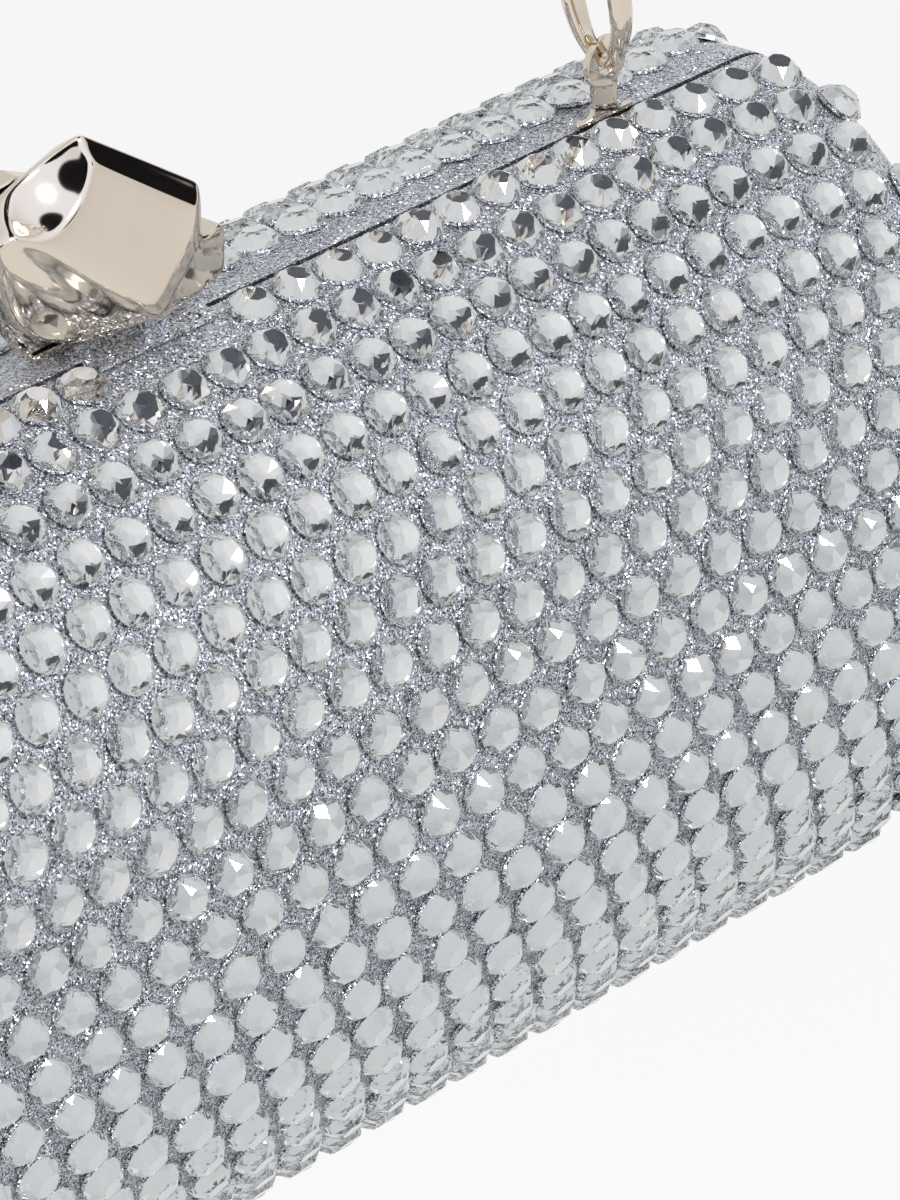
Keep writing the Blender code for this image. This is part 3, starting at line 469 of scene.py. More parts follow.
class Pod:
    """The case's outer surface: an elliptic cylinder whose ends are rounded."""

    steps = 1440

    def __init__(self, sizes, inset=0.0):
        self.x = sizes.half_length - inset
        self.y = sizes.half_depth - inset
        self.z = sizes.half_height - inset
        self.round = max(sizes.end_rounding - inset, 0.001)
        self.gone = half_ellipse(self.y, self.z, self.steps)[1]
        self.flat = (2 * self.x + 2 * self.y, self.gone[-1])

    def angle_at(self, distance):
        """Angle of the point at a distance from the top seam along the section."""
        low = min(max(bisect.bisect_right(self.gone, distance) - 1, 0), self.steps - 1)
        part = (distance - self.gone[low]) / (self.gone[low + 1] - self.gone[low])
        return math.pi * (low + part) / self.steps

    def at(self, side, x, distance):
        """Point and outward normal on the case, by place along it and way round from the seam."""
        angle = self.angle_at(distance)
        over = max(0.0, abs(x) - (self.x - self.round))
        drop = self.round - math.sqrt(max(self.round**2 - over**2, 0.0))
        across, up = (self.y - drop) * math.sin(angle), (self.z - drop) * math.cos(angle)
        lean = math.asin(min(1.0, over / self.round))
        out = Vector((0, side * math.sin(angle) / self.y, math.cos(angle) / self.z)).normalized()
        out = out * math.cos(lean) + Vector((math.copysign(math.sin(lean), x), 0, 0))
        return CENTRE + Vector((x, side * across, up)), out.normalized()


# Where the rows of the front start and how closely they are set, in pitches, row by row
ROW_SHIFTS = (
    -2.05, -1.64, -1.19, -0.65, -0.17, 0.25, 0.72, 1.21, 1.70, 2.19, 2.70, 3.19, 3.65, 4.08
)
ROW_PITCHES = (
    0.956, 0.961, 0.959, 0.963, 0.974, 0.986, 0.996, 1.001, 1.005, 1.008, 1.012, 1.015, 1.018, 1.022
)
# The photograph's middle, in pitches, from the bag's middle
LATTICE_MIDDLE = 1.7
# The first row leaves this stretch bare for the clasp
CLASP_ROOM = {FRONT: (-0.0075, 0.0085), BACK: (-0.0190, 0.0100)}
BACK_CLOSER = 0.985
# The upper rows bend down towards the ends, by this much at this way past the bend's start
BENT_ROWS, BEND, BEND_START, BEND_RUN = 8, 0.0016, 0.066, 0.0155
# Rings on the flat ends: their step in pitches, and the first one's way in, in diameters
RING_STEP, RING_INSET = 0.96, 0.28
# Bare there beside the seam, and over the hinge by half its width and its height
SEAM_ROOM, HINGE_ROOM = 0.0016, (0.006, 0.0052)
# The most that a crystal leans, in radians
STONE_LEAN = 0.03


def row_of(index):
    """(shift, pitch) of a row, in pitches; rows below the fitted ones carry on in step."""
    last = len(ROW_SHIFTS) - 1
    known = min(index, last)
    return ROW_SHIFTS[known] + 0.5 * ROW_PITCHES[last] * (index - known), ROW_PITCHES[known]


def stone_places(sizes, pod, side):
    """Places of the crystals on one half: rows round the case, then rings on its flat ends."""
    rng = random.Random(sizes.seed + side)
    places = []
    first = sizes.first_row if side == FRONT else sizes.back_row
    for row in range(sizes.rows):
        shift, pitch = row_of(row)
        if side == BACK:
            pitch = min(1.0, pitch * BACK_CLOSER)
        step = pitch * sizes.pitch
        x = (shift - LATTICE_MIDDLE) * sizes.pitch
        x -= math.ceil((x + sizes.reach) / step) * step
        while x < sizes.reach + 0.0002:
            x += step
            bare = row == 0 and CLASP_ROOM[side][0] < x < CLASP_ROOM[side][1]
            if bare or abs(x) > sizes.reach:
                continue
            stray = [rng.gauss(0, sizes.uneven) for _ in "xz"]
            bend = BEND * max(0.0, (abs(x) - BEND_START) / BEND_RUN) ** 2 * (row < BENT_ROWS)
            around = first + row * sizes.row_step
            places.append(pod.at(side, x + stray[0], around + bend + stray[1]))
    for end in (-1, 1):
        for across, up in end_rings(sizes, pod):
            point = CENTRE + Vector((end * pod.x, side * across, up))
            places.append((point, Vector((end, 0, 0))))
    return places


def end_rings(sizes, pod):
    """(distance from the seam plane, height) of the crystals on half of a flat end."""
    edge = sizes.diameter / 2 + SEAM_ROOM
    gap = sizes.pitch * RING_STEP
    drop = pod.round + sizes.diameter * RING_INSET
    while pod.y - drop > gap * 0.3:
        line, gone = half_ellipse(pod.y - drop, pod.z - drop, 400)
        room = gone[-1] - edge * 1.6
        number = max(1, round(room / sizes.pitch))
        for i in range(number):
            goal = edge * 0.8 + (i + 0.5) * room / number
            across, up = line[bisect.bisect_left(gone, goal)]
            over_hinge = across < HINGE_ROOM[0] and up < HINGE_ROOM[1] - pod.z
            if across >= edge * 0.62 and not over_hinge:
                yield across, up
        drop += gap


def stone_mesh(name):
    """One cut crystal of unit size: table, stars, kites, lower facets and a foiled back."""
    girdle_height = 0.27
    bm = bmesh.new()

    def ring(radius, height, corners, turn=0.0):
        angles = [2 * math.pi * (i + turn) / corners for i in range(corners)]
        return [bm.verts.new((radius * math.cos(a), radius * math.sin(a), height)) for a in angles]

    table = ring(0.235, 1.0, 8)
    middle = ring(0.42, 0.56, 8, 0.5)
    girdle = ring(0.5, girdle_height, 16)
    back = ring(0.470, 0.02, 16)
    bm.faces.new(table)
    for i in range(8):
        low = [girdle[(2 * i + j) % 16] for j in range(3)]
        bm.faces.new((table[i], middle[i], table[(i + 1) % 8]))
        bm.faces.new((table[i], middle[i - 1], low[0], middle[i]))
        bm.faces.new((middle[i], low[0], low[1]))
        bm.faces.new((middle[i], low[1], low[2]))
    for i in range(16):
        k = (i + 1) % 16
        bm.faces.new((girdle[i], back[i], back[k], girdle[k]))
    bm.faces.new(back[::-1])
    bmesh.ops.recalc_face_normals(bm, faces=bm.faces)
    obj = mesh_piece(name, bm)
    mark = obj.data.attributes.new("foil", "BOOLEAN", "FACE")
    for face in obj.data.polygons:
        mark.data[face.index].value = face.center.z < girdle_height * 0.9
    return obj


class Nodes:
    """A Geometry Nodes tree built in order; its inputs are named and set by identifier."""

    def __init__(self, name, **inputs):
        self.tree = bpy.data.node_groups.new(name, "GeometryNodeTree")
        face = self.tree.interface
        face.new_socket("Geometry", in_out="OUTPUT", socket_type="NodeSocketGeometry")
        for title, kind in {"Geometry": "Geometry", **inputs}.items():
            face.new_socket(title, in_out="INPUT", socket_type=f"NodeSocket{kind}")
        self.given = self.tree.nodes.new("NodeGroupInput").outputs
        self.result = self.tree.nodes.new("NodeGroupOutput").inputs[0]

    def node(self, kind, settings=None, *values, out=0, **named):
        return new_node(self.tree, kind, settings, values, named, out)

    def geometry(self, kind, **named):
        return self.node(f"GeometryNode{kind}", **named)

    def attribute(self, name, kind="FLOAT_VECTOR"):
        return self.node("GeometryNodeInputNamedAttribute", {"data_type": kind}, Name=name)

    def copies(self, thing, rotation, **named):
        """Real copies of an object, one on each point of the mesh that comes in."""
        shape = self.geometry("ObjectInfo", Object=self.given[thing], out="Geometry")
        points = self.geometry("MeshToPoints", Mesh=self.given["Geometry"])
        placed = self.geometry(
            "InstanceOnPoints", Points=points, Instance=shape, Rotation=rotation, **named
        )
        return self.geometry("RealizeInstances", Geometry=placed)

    def close(self, geometry):
        self.tree.links.new(geometry, self.result)
        return self.tree


def copied(name, places, attribute, vectors, tree, **inputs):
    """A piece that a tree makes from points, each with a vector; inputs go in by identifier."""
    mesh = bpy.data.meshes.new(name)
    mesh.from_pydata(places, [], [])
    marks = mesh.attributes.new(attribute, "FLOAT_VECTOR", "POINT")
    marks.data.foreach_set("vector", [c for vector in vectors for c in vector])
    holder = new_piece(name, mesh)
    modifier = holder.modifiers.new(tree.name, "NODES")
    modifier.node_group = tree
    for item in tree.interface.items_tree:
        if item.in_out == "INPUT" and item.name in inputs:
            modifier[item.identifier] = inputs[item.name]
    return baked(holder)


def stone_tree():
    """Sets a crystal on each point, facing out, each turned and leaning a little differently."""
    sizes = {"Diameter": "Float", "Height": "Float", "Lean": "Float", "Seed": "Int"}
    n = Nodes("set_stones", Stone="Object", Glass="Material", Foil="Material", **sizes)
    facing = n.attribute("facing")
    upright = n.node("FunctionNodeAlignRotationToVector", {"axis": "Z"}, Vector=facing)
    lean = n.given["Lean"]
    other = n.node("ShaderNodeMath", {"operation": "MULTIPLY"}, lean, -1.0)
    low = n.node("ShaderNodeCombineXYZ", None, other, other, 0.0)
    high = n.node("ShaderNodeCombineXYZ", None, lean, lean, 2 * math.pi)
    vector = {"data_type": "FLOAT_VECTOR"}
    turn = n.node("FunctionNodeRandomValue", vector, Min=low, Max=high, Seed=n.given["Seed"])
    turn = n.node("FunctionNodeEulerToRotation", Euler=turn)
    local = {"rotation_space": "LOCAL"}
    turned = n.node("FunctionNodeRotateRotation", local, Rotation=upright, Rotate_By=turn)
    across = n.given["Diameter"]
    size = n.node("ShaderNodeCombineXYZ", None, across, across, n.given["Height"])
    real = n.copies("Stone", turned, Scale=size)
    glass = n.geometry("SetMaterial", Geometry=real, Material=n.given["Glass"])
    back = n.attribute("foil", "BOOLEAN")
    foil = n.given["Foil"]
    return n.close(n.geometry("SetMaterial", Geometry=glass, Selection=back, Material=foil))


class CLUTCH_OT_stones(bpy.types.Operator):
    """Sets the crystals on both halves of the case"""

    bl_idname = "clutch.stones"
    bl_label = "Crystals"

    def execute(self, context):
        sizes = context.scene.clutch_stones
        pod = Pod(context.scene.clutch_pod)
        stone = stone_mesh("stone_pattern")
        given = {"Stone": stone, "Glass": cut_glass(), "Foil": stone_foil()}
        given |= {"Diameter": sizes.diameter, "Height": sizes.height, "Lean": STONE_LEAN}
        stone.data.materials.append(given["Glass"])
        tree = stone_tree()
        for side, word in HALVES.items():
            points, normals = zip(*stone_places(sizes, pod, side))
            given["Seed"] = sizes.seed + side
            stones = copied(f"stones_{word}", points, "facing", normals, tree, **given)
            attach(stones, f"{word}_half", "crystal")
        bpy.data.objects.remove(stone)
        return {"FINISHED"}


def half_sheet(name, pod, side, sizes, steps):
    """An open sheet over one half of the case: its round wall, rounded ends and flat ends."""
    edge, slot = sizes.edge, sizes.slot
    straight = pod.x - pod.round
    rounded = [math.pi / 2 * (1 - i / 8) for i in range(9)]
    along = [(-pod.x, pod.round, size) for size in (0.04, 0.2, 0.4, 0.6, 0.8, 0.92)]
    along += [
        (-straight - pod.round * math.sin(a), pod.round * (1 - math.cos(a)), 1.0) for a in rounded
    ]
    along += [(-straight * (1 - i / 30), 0.0, 1.0) for i in range(1, 31)]
    along += [(-x, drop, size) for x, drop, size in reversed(along[:-1])]
    bm = bmesh.new()
    columns = []
    for x, drop, size in along:
        half_y, half_z = pod.y - drop, pod.z - drop
        start = math.asin(edge / half_y)
        slot_low = -half_z * math.sqrt(max(0.0, 1 - (slot / half_y) ** 2)) * size
        column = []
        for k in range(steps + 1):
            angle = start + (math.pi - 2 * start) * k / steps
            across = edge + (half_y * math.sin(angle) - edge) * size
            up = half_z * math.cos(angle) * size
            if up < sizes.slot_top and across < slot:
                across, up = slot, max(up, slot_low)
            column.append(bm.verts.new(CENTRE + Vector((x, side * across, up))))
        columns.append(column)
    join(bm, columns)
    for column in (columns[0], columns[-1]):
        bm.faces.new(column)
    bmesh.ops.remove_doubles(bm, verts=bm.verts, dist=MERGE)
    bmesh.ops.recalc_face_normals(bm, faces=bm.faces)
    middle = max(bm.faces, key=lambda f: side * f.calc_center_median().y)
    if middle.normal.y * side < 0:
        bmesh.ops.reverse_faces(bm, faces=bm.faces)
    return mesh_piece(name, bm, 40)


def join(bm, columns):
    """Fills the strips between neighbouring columns of corners."""
    for left, right in zip(columns, columns[1:]):
        for k in range(len(left) - 1):
            bm.faces.new((left[k], left[k + 1], right[k + 1], right[k]))


def declared_sheet(sheet, flat, half, slot, wall, material, replaced, rests_on, roll=0.0, out=-1.0):
    area = min(sum(face.area for face in sheet.data.polygons), flat[0] * flat[1])
    solid = sheet.modifiers.new("wall", "SOLIDIFY")
    solid.thickness = wall
    solid.offset = out
    solid.use_even_offset = False
    if roll:
        edge = sheet.modifiers.new("edge", "BEVEL")
        edge.width = roll
        edge.segments = 3
        edge.limit_method = "ANGLE"
        edge.angle_limit = math.radians(50)
    sheet = baked(sheet)
    sheet.data.materials.append(material)
    attach(sheet, f"{half}_half", slot, replaced)
    return sheet.data


class CLUTCH_OT_cloth(bpy.types.Operator):
    """Wraps both halves in glitter cloth, rolled into the seam"""

    bl_idname = "clutch.cloth"
    bl_label = "Glitter cloth"
    # The cut edge, which carries the painted seam shade, reaches this far from the seam plane, and
    # down to the hinge
    cut_reach, cut_low = 0.00042, -0.0400

    def execute(self, context):
        sizes = context.scene.clutch_pod
        pod = Pod(sizes)
        glitter, inside = glitter_cloth(), cut_edge()
        for side, word in HALVES.items():
            sheet = half_sheet(f"cloth_{word}", pod, side, sizes, 110)
            finish = ("glitter_fabric", sizes.cloth, glitter)
            nodes = (f"skin_{word}", f"shell_{word}")
            wrap = declared_sheet(sheet, pod.flat, word, *finish, *nodes, sizes.seam_roll)
            # The faces of the cut edge take the painted seam shade
            wrap.materials.append(inside)
            for face in wrap.polygons:
                place = face.center - CENTRE
                cut = abs(place.y) < self.cut_reach and place.z > self.cut_low
                face.material_index = int(cut)
        return {"FINISHED"}


def ripple(point, step, seed):
    """Soft unevenness of stretched satin at a point, from 0 to 1."""
    x, y, z = point / step
    waves = math.sin(x + seed) * math.cos(0.7 * z + 0.4 * x)
    return 0.5 + 0.25 * (waves + math.sin(1.7 * x - 1.3 * z + 2 * seed))


class CLUTCH_OT_inside(bpy.types.Operator):
    """Lines both halves with satin and finishes the shells, frame and hinge"""

    bl_idname = "clutch.inside"
    bl_label = "Lining and hinge"

    def execute(self, context):
        satin, steel, resin = satin_lining(), brushed_steel(), moulded_resin()
        sizes = context.scene.clutch_inside
        pod = Pod(context.scene.clutch_pod, sizes.inset)
        finish = ("lining_cloth", sizes.satin, satin)
        for side, word in HALVES.items():
            sheet = half_sheet(f"satin_{word}", pod, side, sizes, 70)
            middle = CENTRE + Vector((0, side * pod.y / 2, 0))
            for vert in sheet.data.vertices:
                inward = (middle - vert.co).normalized()
                vert.co += inward * sizes.sag * ripple(vert.co, 0.006, side)
            nodes = (f"lining_{word}", f"shell_{word}")
            declared_sheet(sheet, pod.flat, word, *finish, *nodes)
            dress(f"shell_{word}", resin)
        pocket, flat = self.pocket()
        declared_sheet(pocket, flat, "back", *finish, "slip_pocket", "satin_back", out=1.0)
        metal = ("rim", "hinge", "keeper", "tab_rivet", "clasp_pin", "clasp_spring")
        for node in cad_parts:
            if node.startswith(metal):
                dress(node, steel)
        return {"FINISHED"}

    def pocket(self, across=90, up=28):
        """A panel on the back lining, gathered a little along its hemmed top, and its cut size."""
        low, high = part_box("slip_pocket")
        pleat, stray, full, slack_top, hem_fold = 0.0062, 0.011, 0.0009, 0.0008, 0.00025
        bm = bmesh.new()
        columns = []
        for i in range(across, -1, -1):
            x = low.x + (high.x - low.x) * i / across
            gather = 0.5 + 0.5 * math.sin(2 * math.pi * x / pleat + math.sin(x / stray))
            slack = math.sin(math.pi * i / across) ** 0.5
            column = []
            for rise in (k / up for k in range(up + 1)):
                y = high.y - 0.0004 - slack * (full * gather * rise**2 + slack_top * rise)
                y -= hem_fold * (0.86 < rise < 0.98)
                column.append(bm.verts.new((x, y, low.z + (high.z - low.z) * rise)))
            columns.append(column)
        join(bm, columns)
        flat = (high.x - low.x + 0.004, high.z - low.z + 0.003)
        return mesh_piece("satin_back_pocket", bm, 50), flat


# Corners of the clasp's front piece as shares of its width, front depth and height: the ridge,
# the edge below the chamfer, the broad front facet, then the curved left side and the underside
CLASP_FRONT = [
    (0.40, 0.25, 1.00), (0.89, 0.25, 0.54), (0.90, 0.25, 0.33), (0.39, 0.65, 0.90),
    (0.83, 0.65, 0.45), (0.83, 0.65, 0.33), (0.22, 1.00, 0.61), (0.61, 1.00, 0.10),
    (0.00, 0.95, 0.70), (0.00, 0.50, 0.60), (0.05, 0.42, 0.48), (0.09, 0.32, 0.33),
    (0.16, 0.22, 0.20), (0.25, 0.18, 0.10), (0.42, 0.18, 0.01), (0.87, 0.30, 0.01),
]
CLASP_BACK = [
    (0.39, 0.90), (0.87, 0.47), (0.90, 0.33), (0.87, 0.00), (0.42, 0.00), (0.25, 0.10),
    (0.16, 0.20), (0.09, 0.33), (0.05, 0.48), (0.00, 0.60), (0.00, 0.72),
]
# The tooth at its right end
TOOTH_FRONT = [
    (0.62, 0.93, 0.12), (0.64, 0.90, 0.06), (0.82, 0.62, 0.30), (0.98, 0.22, 0.30),
    (1.00, 0.20, 0.27), (1.00, 0.20, 0.07), (0.97, 0.20, 0.04),
]
TOOTH_BACK = [(0.70, 0.30), (0.97, 0.30), (1.00, 0.25), (1.00, 0.08), (0.97, 0.04), (0.70, 0.04)]
# Middle of the hollow, and the ends of the flute and the cove, as the same shares
HOLLOW = (0.18, 1.50, 1.02)
FLUTE = ((0.395, 0.45, 0.95), (0.86, 0.45, 0.495))
COVE = ((0.22, 1.0, 0.61), (0.61, 1.0, 0.10))
COVE_LOW = ((0.09, 0.5, 0.33), (0.25, 0.5, 0.10))
# The way out of the metal at both, and how deep they cut
FLUTE_OUT, FLUTE_DEEP = (0.357, -0.771, 0.527), 0.00022
COVE_OUT, COVE_DEEP = (-0.175, -0.966, -0.185), 0.0002
# Room for the bracket and for the case's top, lowest and highest corners, and the stud's axis
BRACKET_ROOM = ((-0.0018, -0.00315, -0.3), (0.0018, 0.1, -0.19434))
CASE_ROOM = ((-0.1, -0.00105, -0.3), (0.1, 0.1, -0.198267))
STUD_AXIS, STUD_WAY, STUD_END = (0.0, 0.0, -0.188967), (0.0, 1.0, 0.0), 0.0001
# Softness of the edges of those rooms, and how far forward a front facet faces
CRISP, FACING = 0.00006, -0.3


def rounded_most(distances, blend):
    """The greatest of some distances at each point, rounded off where two are close."""
    stack = numpy.stack(distances)
    top = stack.max(axis=0)
    return top + blend * numpy.log(numpy.exp((stack - top) / blend).sum(axis=0))


def rod(points, centre, way, radius):
    across = points - numpy.array(centre)
    across = across - numpy.outer(across @ numpy.array(way), way)
    return numpy.linalg.norm(across, axis=1) - radius


def block(points, low, high):
    return numpy.maximum(numpy.array(low) - points, points - numpy.array(high)).max(axis=1)


class ClaspForm:
    """Signed distance, in metres, to the clasp's front piece: facets, a hollow and a cove."""

    def __init__(self, sizes):
        self.sizes = sizes
        planes = self.planes(CLASP_FRONT, CLASP_BACK)
        self.front = [plane for plane in planes if plane[1] < FACING]
        self.rest = [plane for plane in planes if plane[1] >= FACING]
        self.tooth = self.planes(TOOTH_FRONT, TOOTH_BACK)
        self.hollow = self.place(HOLLOW)
        upper, lower = (self.place(end) for end in COVE)
        below = [self.place(end) for end in COVE_LOW]
        middle = (upper + lower) * 0.32 + (below[0] + below[1]) * 0.18
        self.cove = self.groove(upper, lower, middle, COVE_OUT, sizes.cove, COVE_DEEP)
        first, second = (self.place(end) for end in FLUTE)
        middle = (first + second) / 2
        self.flute = self.groove(first, second, middle, FLUTE_OUT, sizes.flute, FLUTE_DEEP)

    def place(self, shares):
        across, forward, up = shares
        sizes = self.sizes
        return numpy.array(
            (
                across * sizes.width - sizes.left,
                CENTRE.y - forward * sizes.depth,
                sizes.foot + up * sizes.height,
            )
        )

    def groove(self, first, second, middle, out, radius, deep):
        """(centre, way, radius) of a round bar that cuts a groove of some depth."""
        way = (second - first) / numpy.linalg.norm(second - first)
        return middle + numpy.array(out) * (radius - deep), way, radius

    def planes(self, front, back):
        bm = bmesh.new()
        back = [(across, -self.sizes.back / self.sizes.depth, up) for across, up in back]
        for shares in (*front, *back):
            bm.verts.new(self.place(shares))
        bmesh.ops.convex_hull(bm, input=bm.verts)
        found = {}
        for face in bm.faces:
            key = tuple(round(c, 2) for c in face.normal)
            found[key] = (*face.normal, face.normal.dot(face.verts[0].co))
        bm.free()
        return numpy.array(list(found.values()))

    def distance(self, points):
        crisp, lip = self.sizes.rounding, self.sizes.lip
        front, rest, tooth = (
            rounded_most([points @ plane[:3] - plane[3] for plane in planes], crisp)
            for planes in (self.front, self.rest, self.tooth)
        )
        body = rounded_most([front, rest], lip)
        body = rounded_most([body, -rod(points, *self.flute)], crisp)
        body = rounded_most([body, -rod(points, *self.cove)], lip)
        both = -rounded_most([-body, -tooth], crisp)
        hollow = self.sizes.scoop - numpy.linalg.norm(points - self.hollow, axis=1)
        stud = rod(points, STUD_AXIS, STUD_WAY, self.sizes.stud)
        holes = [block(points, *BRACKET_ROOM), block(points, *CASE_ROOM)]
        holes.append(numpy.maximum(stud, STUD_END - points[:, 1]))
        return rounded_most([rounded_most([both, hollow], lip), *(-h for h in holes)], CRISP)

    def slope(self, points, step=0.00002):
        sides = [
            self.distance(points + axis) - self.distance(points - axis)
            for axis in numpy.identity(3) * step
        ]
        return numpy.stack(sides, axis=1) / (2 * step)


def clasp_front(sizes, rounds=6, farthest=0.0008):
    """A fine mesh of the clasp's front piece, drawn onto its exact form and relaxed in turns."""
    form = ClaspForm(sizes)
    bm = bmesh.new()
    bm.from_mesh(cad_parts["clasp_lever"].data)
    bmesh.ops.remove_doubles(bm, verts=bm.verts, dist=MERGE)
    rough = mesh_piece("clasp_front", bm)
    remesh = rough.modifiers.new("remesh", "REMESH")
    remesh.mode = "VOXEL"
    remesh.voxel_size = sizes.grain
    obj = baked(rough)
    mesh = obj.data
    points = numpy.empty(len(mesh.vertices) * 3)
    mesh.vertices.foreach_get("co", points)
    points = points.reshape(-1, 3)
    pairs = numpy.empty(len(mesh.edges) * 2, dtype=int)
    mesh.edges.foreach_get("vertices", pairs)
    pairs = pairs.reshape(-1, 2)
    number = numpy.bincount(pairs.ravel(), minlength=len(points))[:, None]
    for turn in range(rounds):
        if turn:
            total = numpy.zeros_like(points)
            numpy.add.at(total, pairs[:, 0], points[pairs[:, 1]])
            numpy.add.at(total, pairs[:, 1], points[pairs[:, 0]])
            points = points + 0.5 * (total / number - points)
        for _ in range(3):
            slope = form.slope(points)
            move = form.distance(points) / numpy.maximum((slope**2).sum(axis=1), 0.2)
            points = points - numpy.clip(move, -farthest, farthest)[:, None] * slope
    mesh.vertices.foreach_set("co", points.ravel())
    mesh.update()
    mesh.shade_smooth()
    mesh.materials.clear()
    return obj


class CLUTCH_OT_clasp(bpy.types.Operator):
    """Sculpts the clasp's front piece and finishes the rest of the clasp"""

    bl_idname = "clutch.clasp"
    bl_label = "Clasp"

    def execute(self, context):
        nickel = polished_nickel()
        obj = clasp_front(context.scene.clutch_clasp)
        obj.data.materials.append(nickel)
        attach(obj, "clasp_front", "polished_nickel", "clasp_lever")
        dress("clasp_keeper", nickel)
        for node in ("clasp_bracket", "bracket_screw_left", "bracket_screw_right"):
            dress(node, bpy.data.materials["glitter_cloth"])
        return {"FINISHED"}


class Strap:
    """The chain's own line: straight sides that lean in and a round top where it is held."""

    def __init__(self, sizes):
        self.sizes = sizes
        self.hole = Vector((sizes.spread, 0.0, sizes.hole))
        self.lean = math.radians(sizes.lean)
        self.straight = (sizes.spread - sizes.hold * math.cos(self.lean)) / math.sin(self.lean)
        self.length = 2 * self.straight + sizes.hold * (math.pi - 2 * self.lean)

    def point(self, distance):
        """A point of the line, measured along it from the right-hand tab."""
        if distance > self.length / 2:
            x, y, z = self.point(self.length - distance)
            return Vector((-x, y, z))
        out = Vector((math.cos(self.lean), 0, math.sin(self.lean)))
        along = Vector((-out.z, 0, out.x))
        if distance <= self.straight:
            return self.hole + along * distance
        centre = self.hole + along * self.straight - self.sizes.hold * out
        angle = self.lean + (distance - self.straight) / self.sizes.hold
        return centre + self.sizes.hold * Vector((math.cos(angle), 0, math.sin(angle)))

    def path(self, steps=40):
        return [tuple(self.point(self.length * i / steps)) for i in range(steps + 1)]

    def links(self):
        """Middle and turn of each link; every other one is turned a quarter about the line."""
        sizes = self.sizes
        span = sizes.link_length - sizes.wire
        pitch = span - sizes.wire - sizes.gap
        back = Vector((0, 1, 0))
        for i in range(sizes.count):
            start, end = self.point(i * pitch), self.point(i * pitch + span)
            along = (end - start).normalized()
            turn = Matrix((back.cross(along), back, along)).transposed()
            turn = turn @ Matrix.Rotation(math.pi / 2 * (i % 2), 3, "Z")
            yield (start + end) / 2, turn.to_euler()


def link_pattern(sizes, stations=36, sides=12):
    """One oval link standing in the YZ plane; its band is widest along the straight sides."""
    bm = bmesh.new()
    rings = []
    half_long = (sizes.link_length - sizes.wire) / 2
    half_wide = (sizes.link_width - sizes.wire) / 2

    def squarish(share):
        return math.copysign(abs(share) ** 0.75, share) / 2

    for i in range(stations):
        t = 2 * math.pi * i / stations
        centre = Vector((0, half_wide * math.cos(t), half_long * math.sin(t)))
        outward = Vector((0, half_long * math.cos(t), half_wide * math.sin(t))).normalized()
        band = sizes.wire + (sizes.band - sizes.wire) * math.cos(t) ** 2
        ring = []
        for k in range(sides):
            a = 2 * math.pi * (k + 0.5) / sides
            across = Vector((squarish(math.cos(a)) * band, 0, 0))
            out = outward * squarish(math.sin(a)) * sizes.wire
            ring.append(bm.verts.new(centre + across + out))
        rings.append([*ring, ring[0]])
    join(bm, [*rings, rings[0]])
    bmesh.ops.recalc_face_normals(bm, faces=bm.faces)
    return mesh_piece("link_pattern", bm, 45)


def link_tree():
    """Sets a link on each point, turned as the point says."""
    n = Nodes("set_links", Link="Object", Metal="Material")
    turned = n.node("FunctionNodeEulerToRotation", Euler=n.attribute("turn"))
    real = n.copies("Link", turned)
    return n.close(n.geometry("SetMaterial", Geometry=real, Material=n.given["Metal"]))


class CLUTCH_OT_chain(bpy.types.Operator):
    """Builds the chain strap of oval links"""

    bl_idname = "clutch.chain"
    bl_label = "Chain"

    def execute(self, context):
        sizes = context.scene.clutch_chain
        strap = Strap(sizes)
        nickel = polished_nickel("polished_links")
        link = link_pattern(sizes)
        link.data.materials.append(nickel)
        middles, turns = zip(*strap.links())
        chain = copied("chain_strap", middles, "turn", turns, link_tree(), Link=link, Metal=nickel)
        bpy.data.objects.remove(link)
        links = [f"chain_link_{i + 1:02d}" for i in range(sizes.count)]
        attach(chain, "back_half", "polished_nickel", *links)
        path = strap.path()
        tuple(path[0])
        return {"FINISHED"}


class CLUTCH_OT_tabs(bpy.types.Operator):
    """Cuts the two tabs that the chain hangs in, with a round head and softened edges"""

    bl_idname = "clutch.tabs"
    bl_label = "Tabs"

    def execute(self, context):
        sizes = context.scene.clutch_tabs
        nickel = polished_nickel("polished_tabs")
        for word in ("left", "right"):
            node = f"chain_tab_{word}"
            low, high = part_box(node)
            hole = high.z - sizes.head
            curve = bpy.data.curves.new(f"tab_{word}", "CURVE")
            curve.dimensions = "2D"
            curve.fill_mode = "BOTH"
            curve.bevel_depth = sizes.edge
            curve.bevel_resolution = 2
            curve.offset = -sizes.edge
            curve.extrude = sizes.thickness / 2 - sizes.edge
            ring = arc(sizes.hole, 0, 2 * math.pi, 24)[:-1]
            for line in (self.outline(sizes, low.z - hole), ring):
                spline = curve.splines.new("POLY")
                spline.points.add(len(line) - 1)
                spline.use_cyclic_u = True
                for point, (x, z) in zip(spline.points, line):
                    point.co = (x, z, 0, 1)
            obj = baked(new_piece(f"tab_{word}", curve))
            place = Vector(((low.x + high.x) / 2, low.y + sizes.thickness / 2, hole))
            obj.data.transform(Matrix.Translation(place) @ Matrix.Rotation(math.pi / 2, 4, "X"))
            obj.data.materials.clear()
            obj.data.materials.append(nickel)
            smooth(obj.data, 50)
            attach(obj, "back_half", "polished_nickel", node)
        return {"FINISHED"}

    def outline(self, sizes, low):
        """Round head, neck and foot, seen from the front, about the hole."""
        neck, foot, rise = sizes.neck / 2, sizes.foot / 2, sizes.foot_rise
        meet = math.asin(neck / sizes.head)
        head = arc(sizes.head, meet - math.pi / 2, 1.5 * math.pi - meet, 48)
        left = [(-neck, rise + sizes.fillet), (-neck - sizes.fillet, rise)]
        left += [(-foot, rise), (-foot, low)]
        return head + left + [(-x, z) for x, z in reversed(left)]


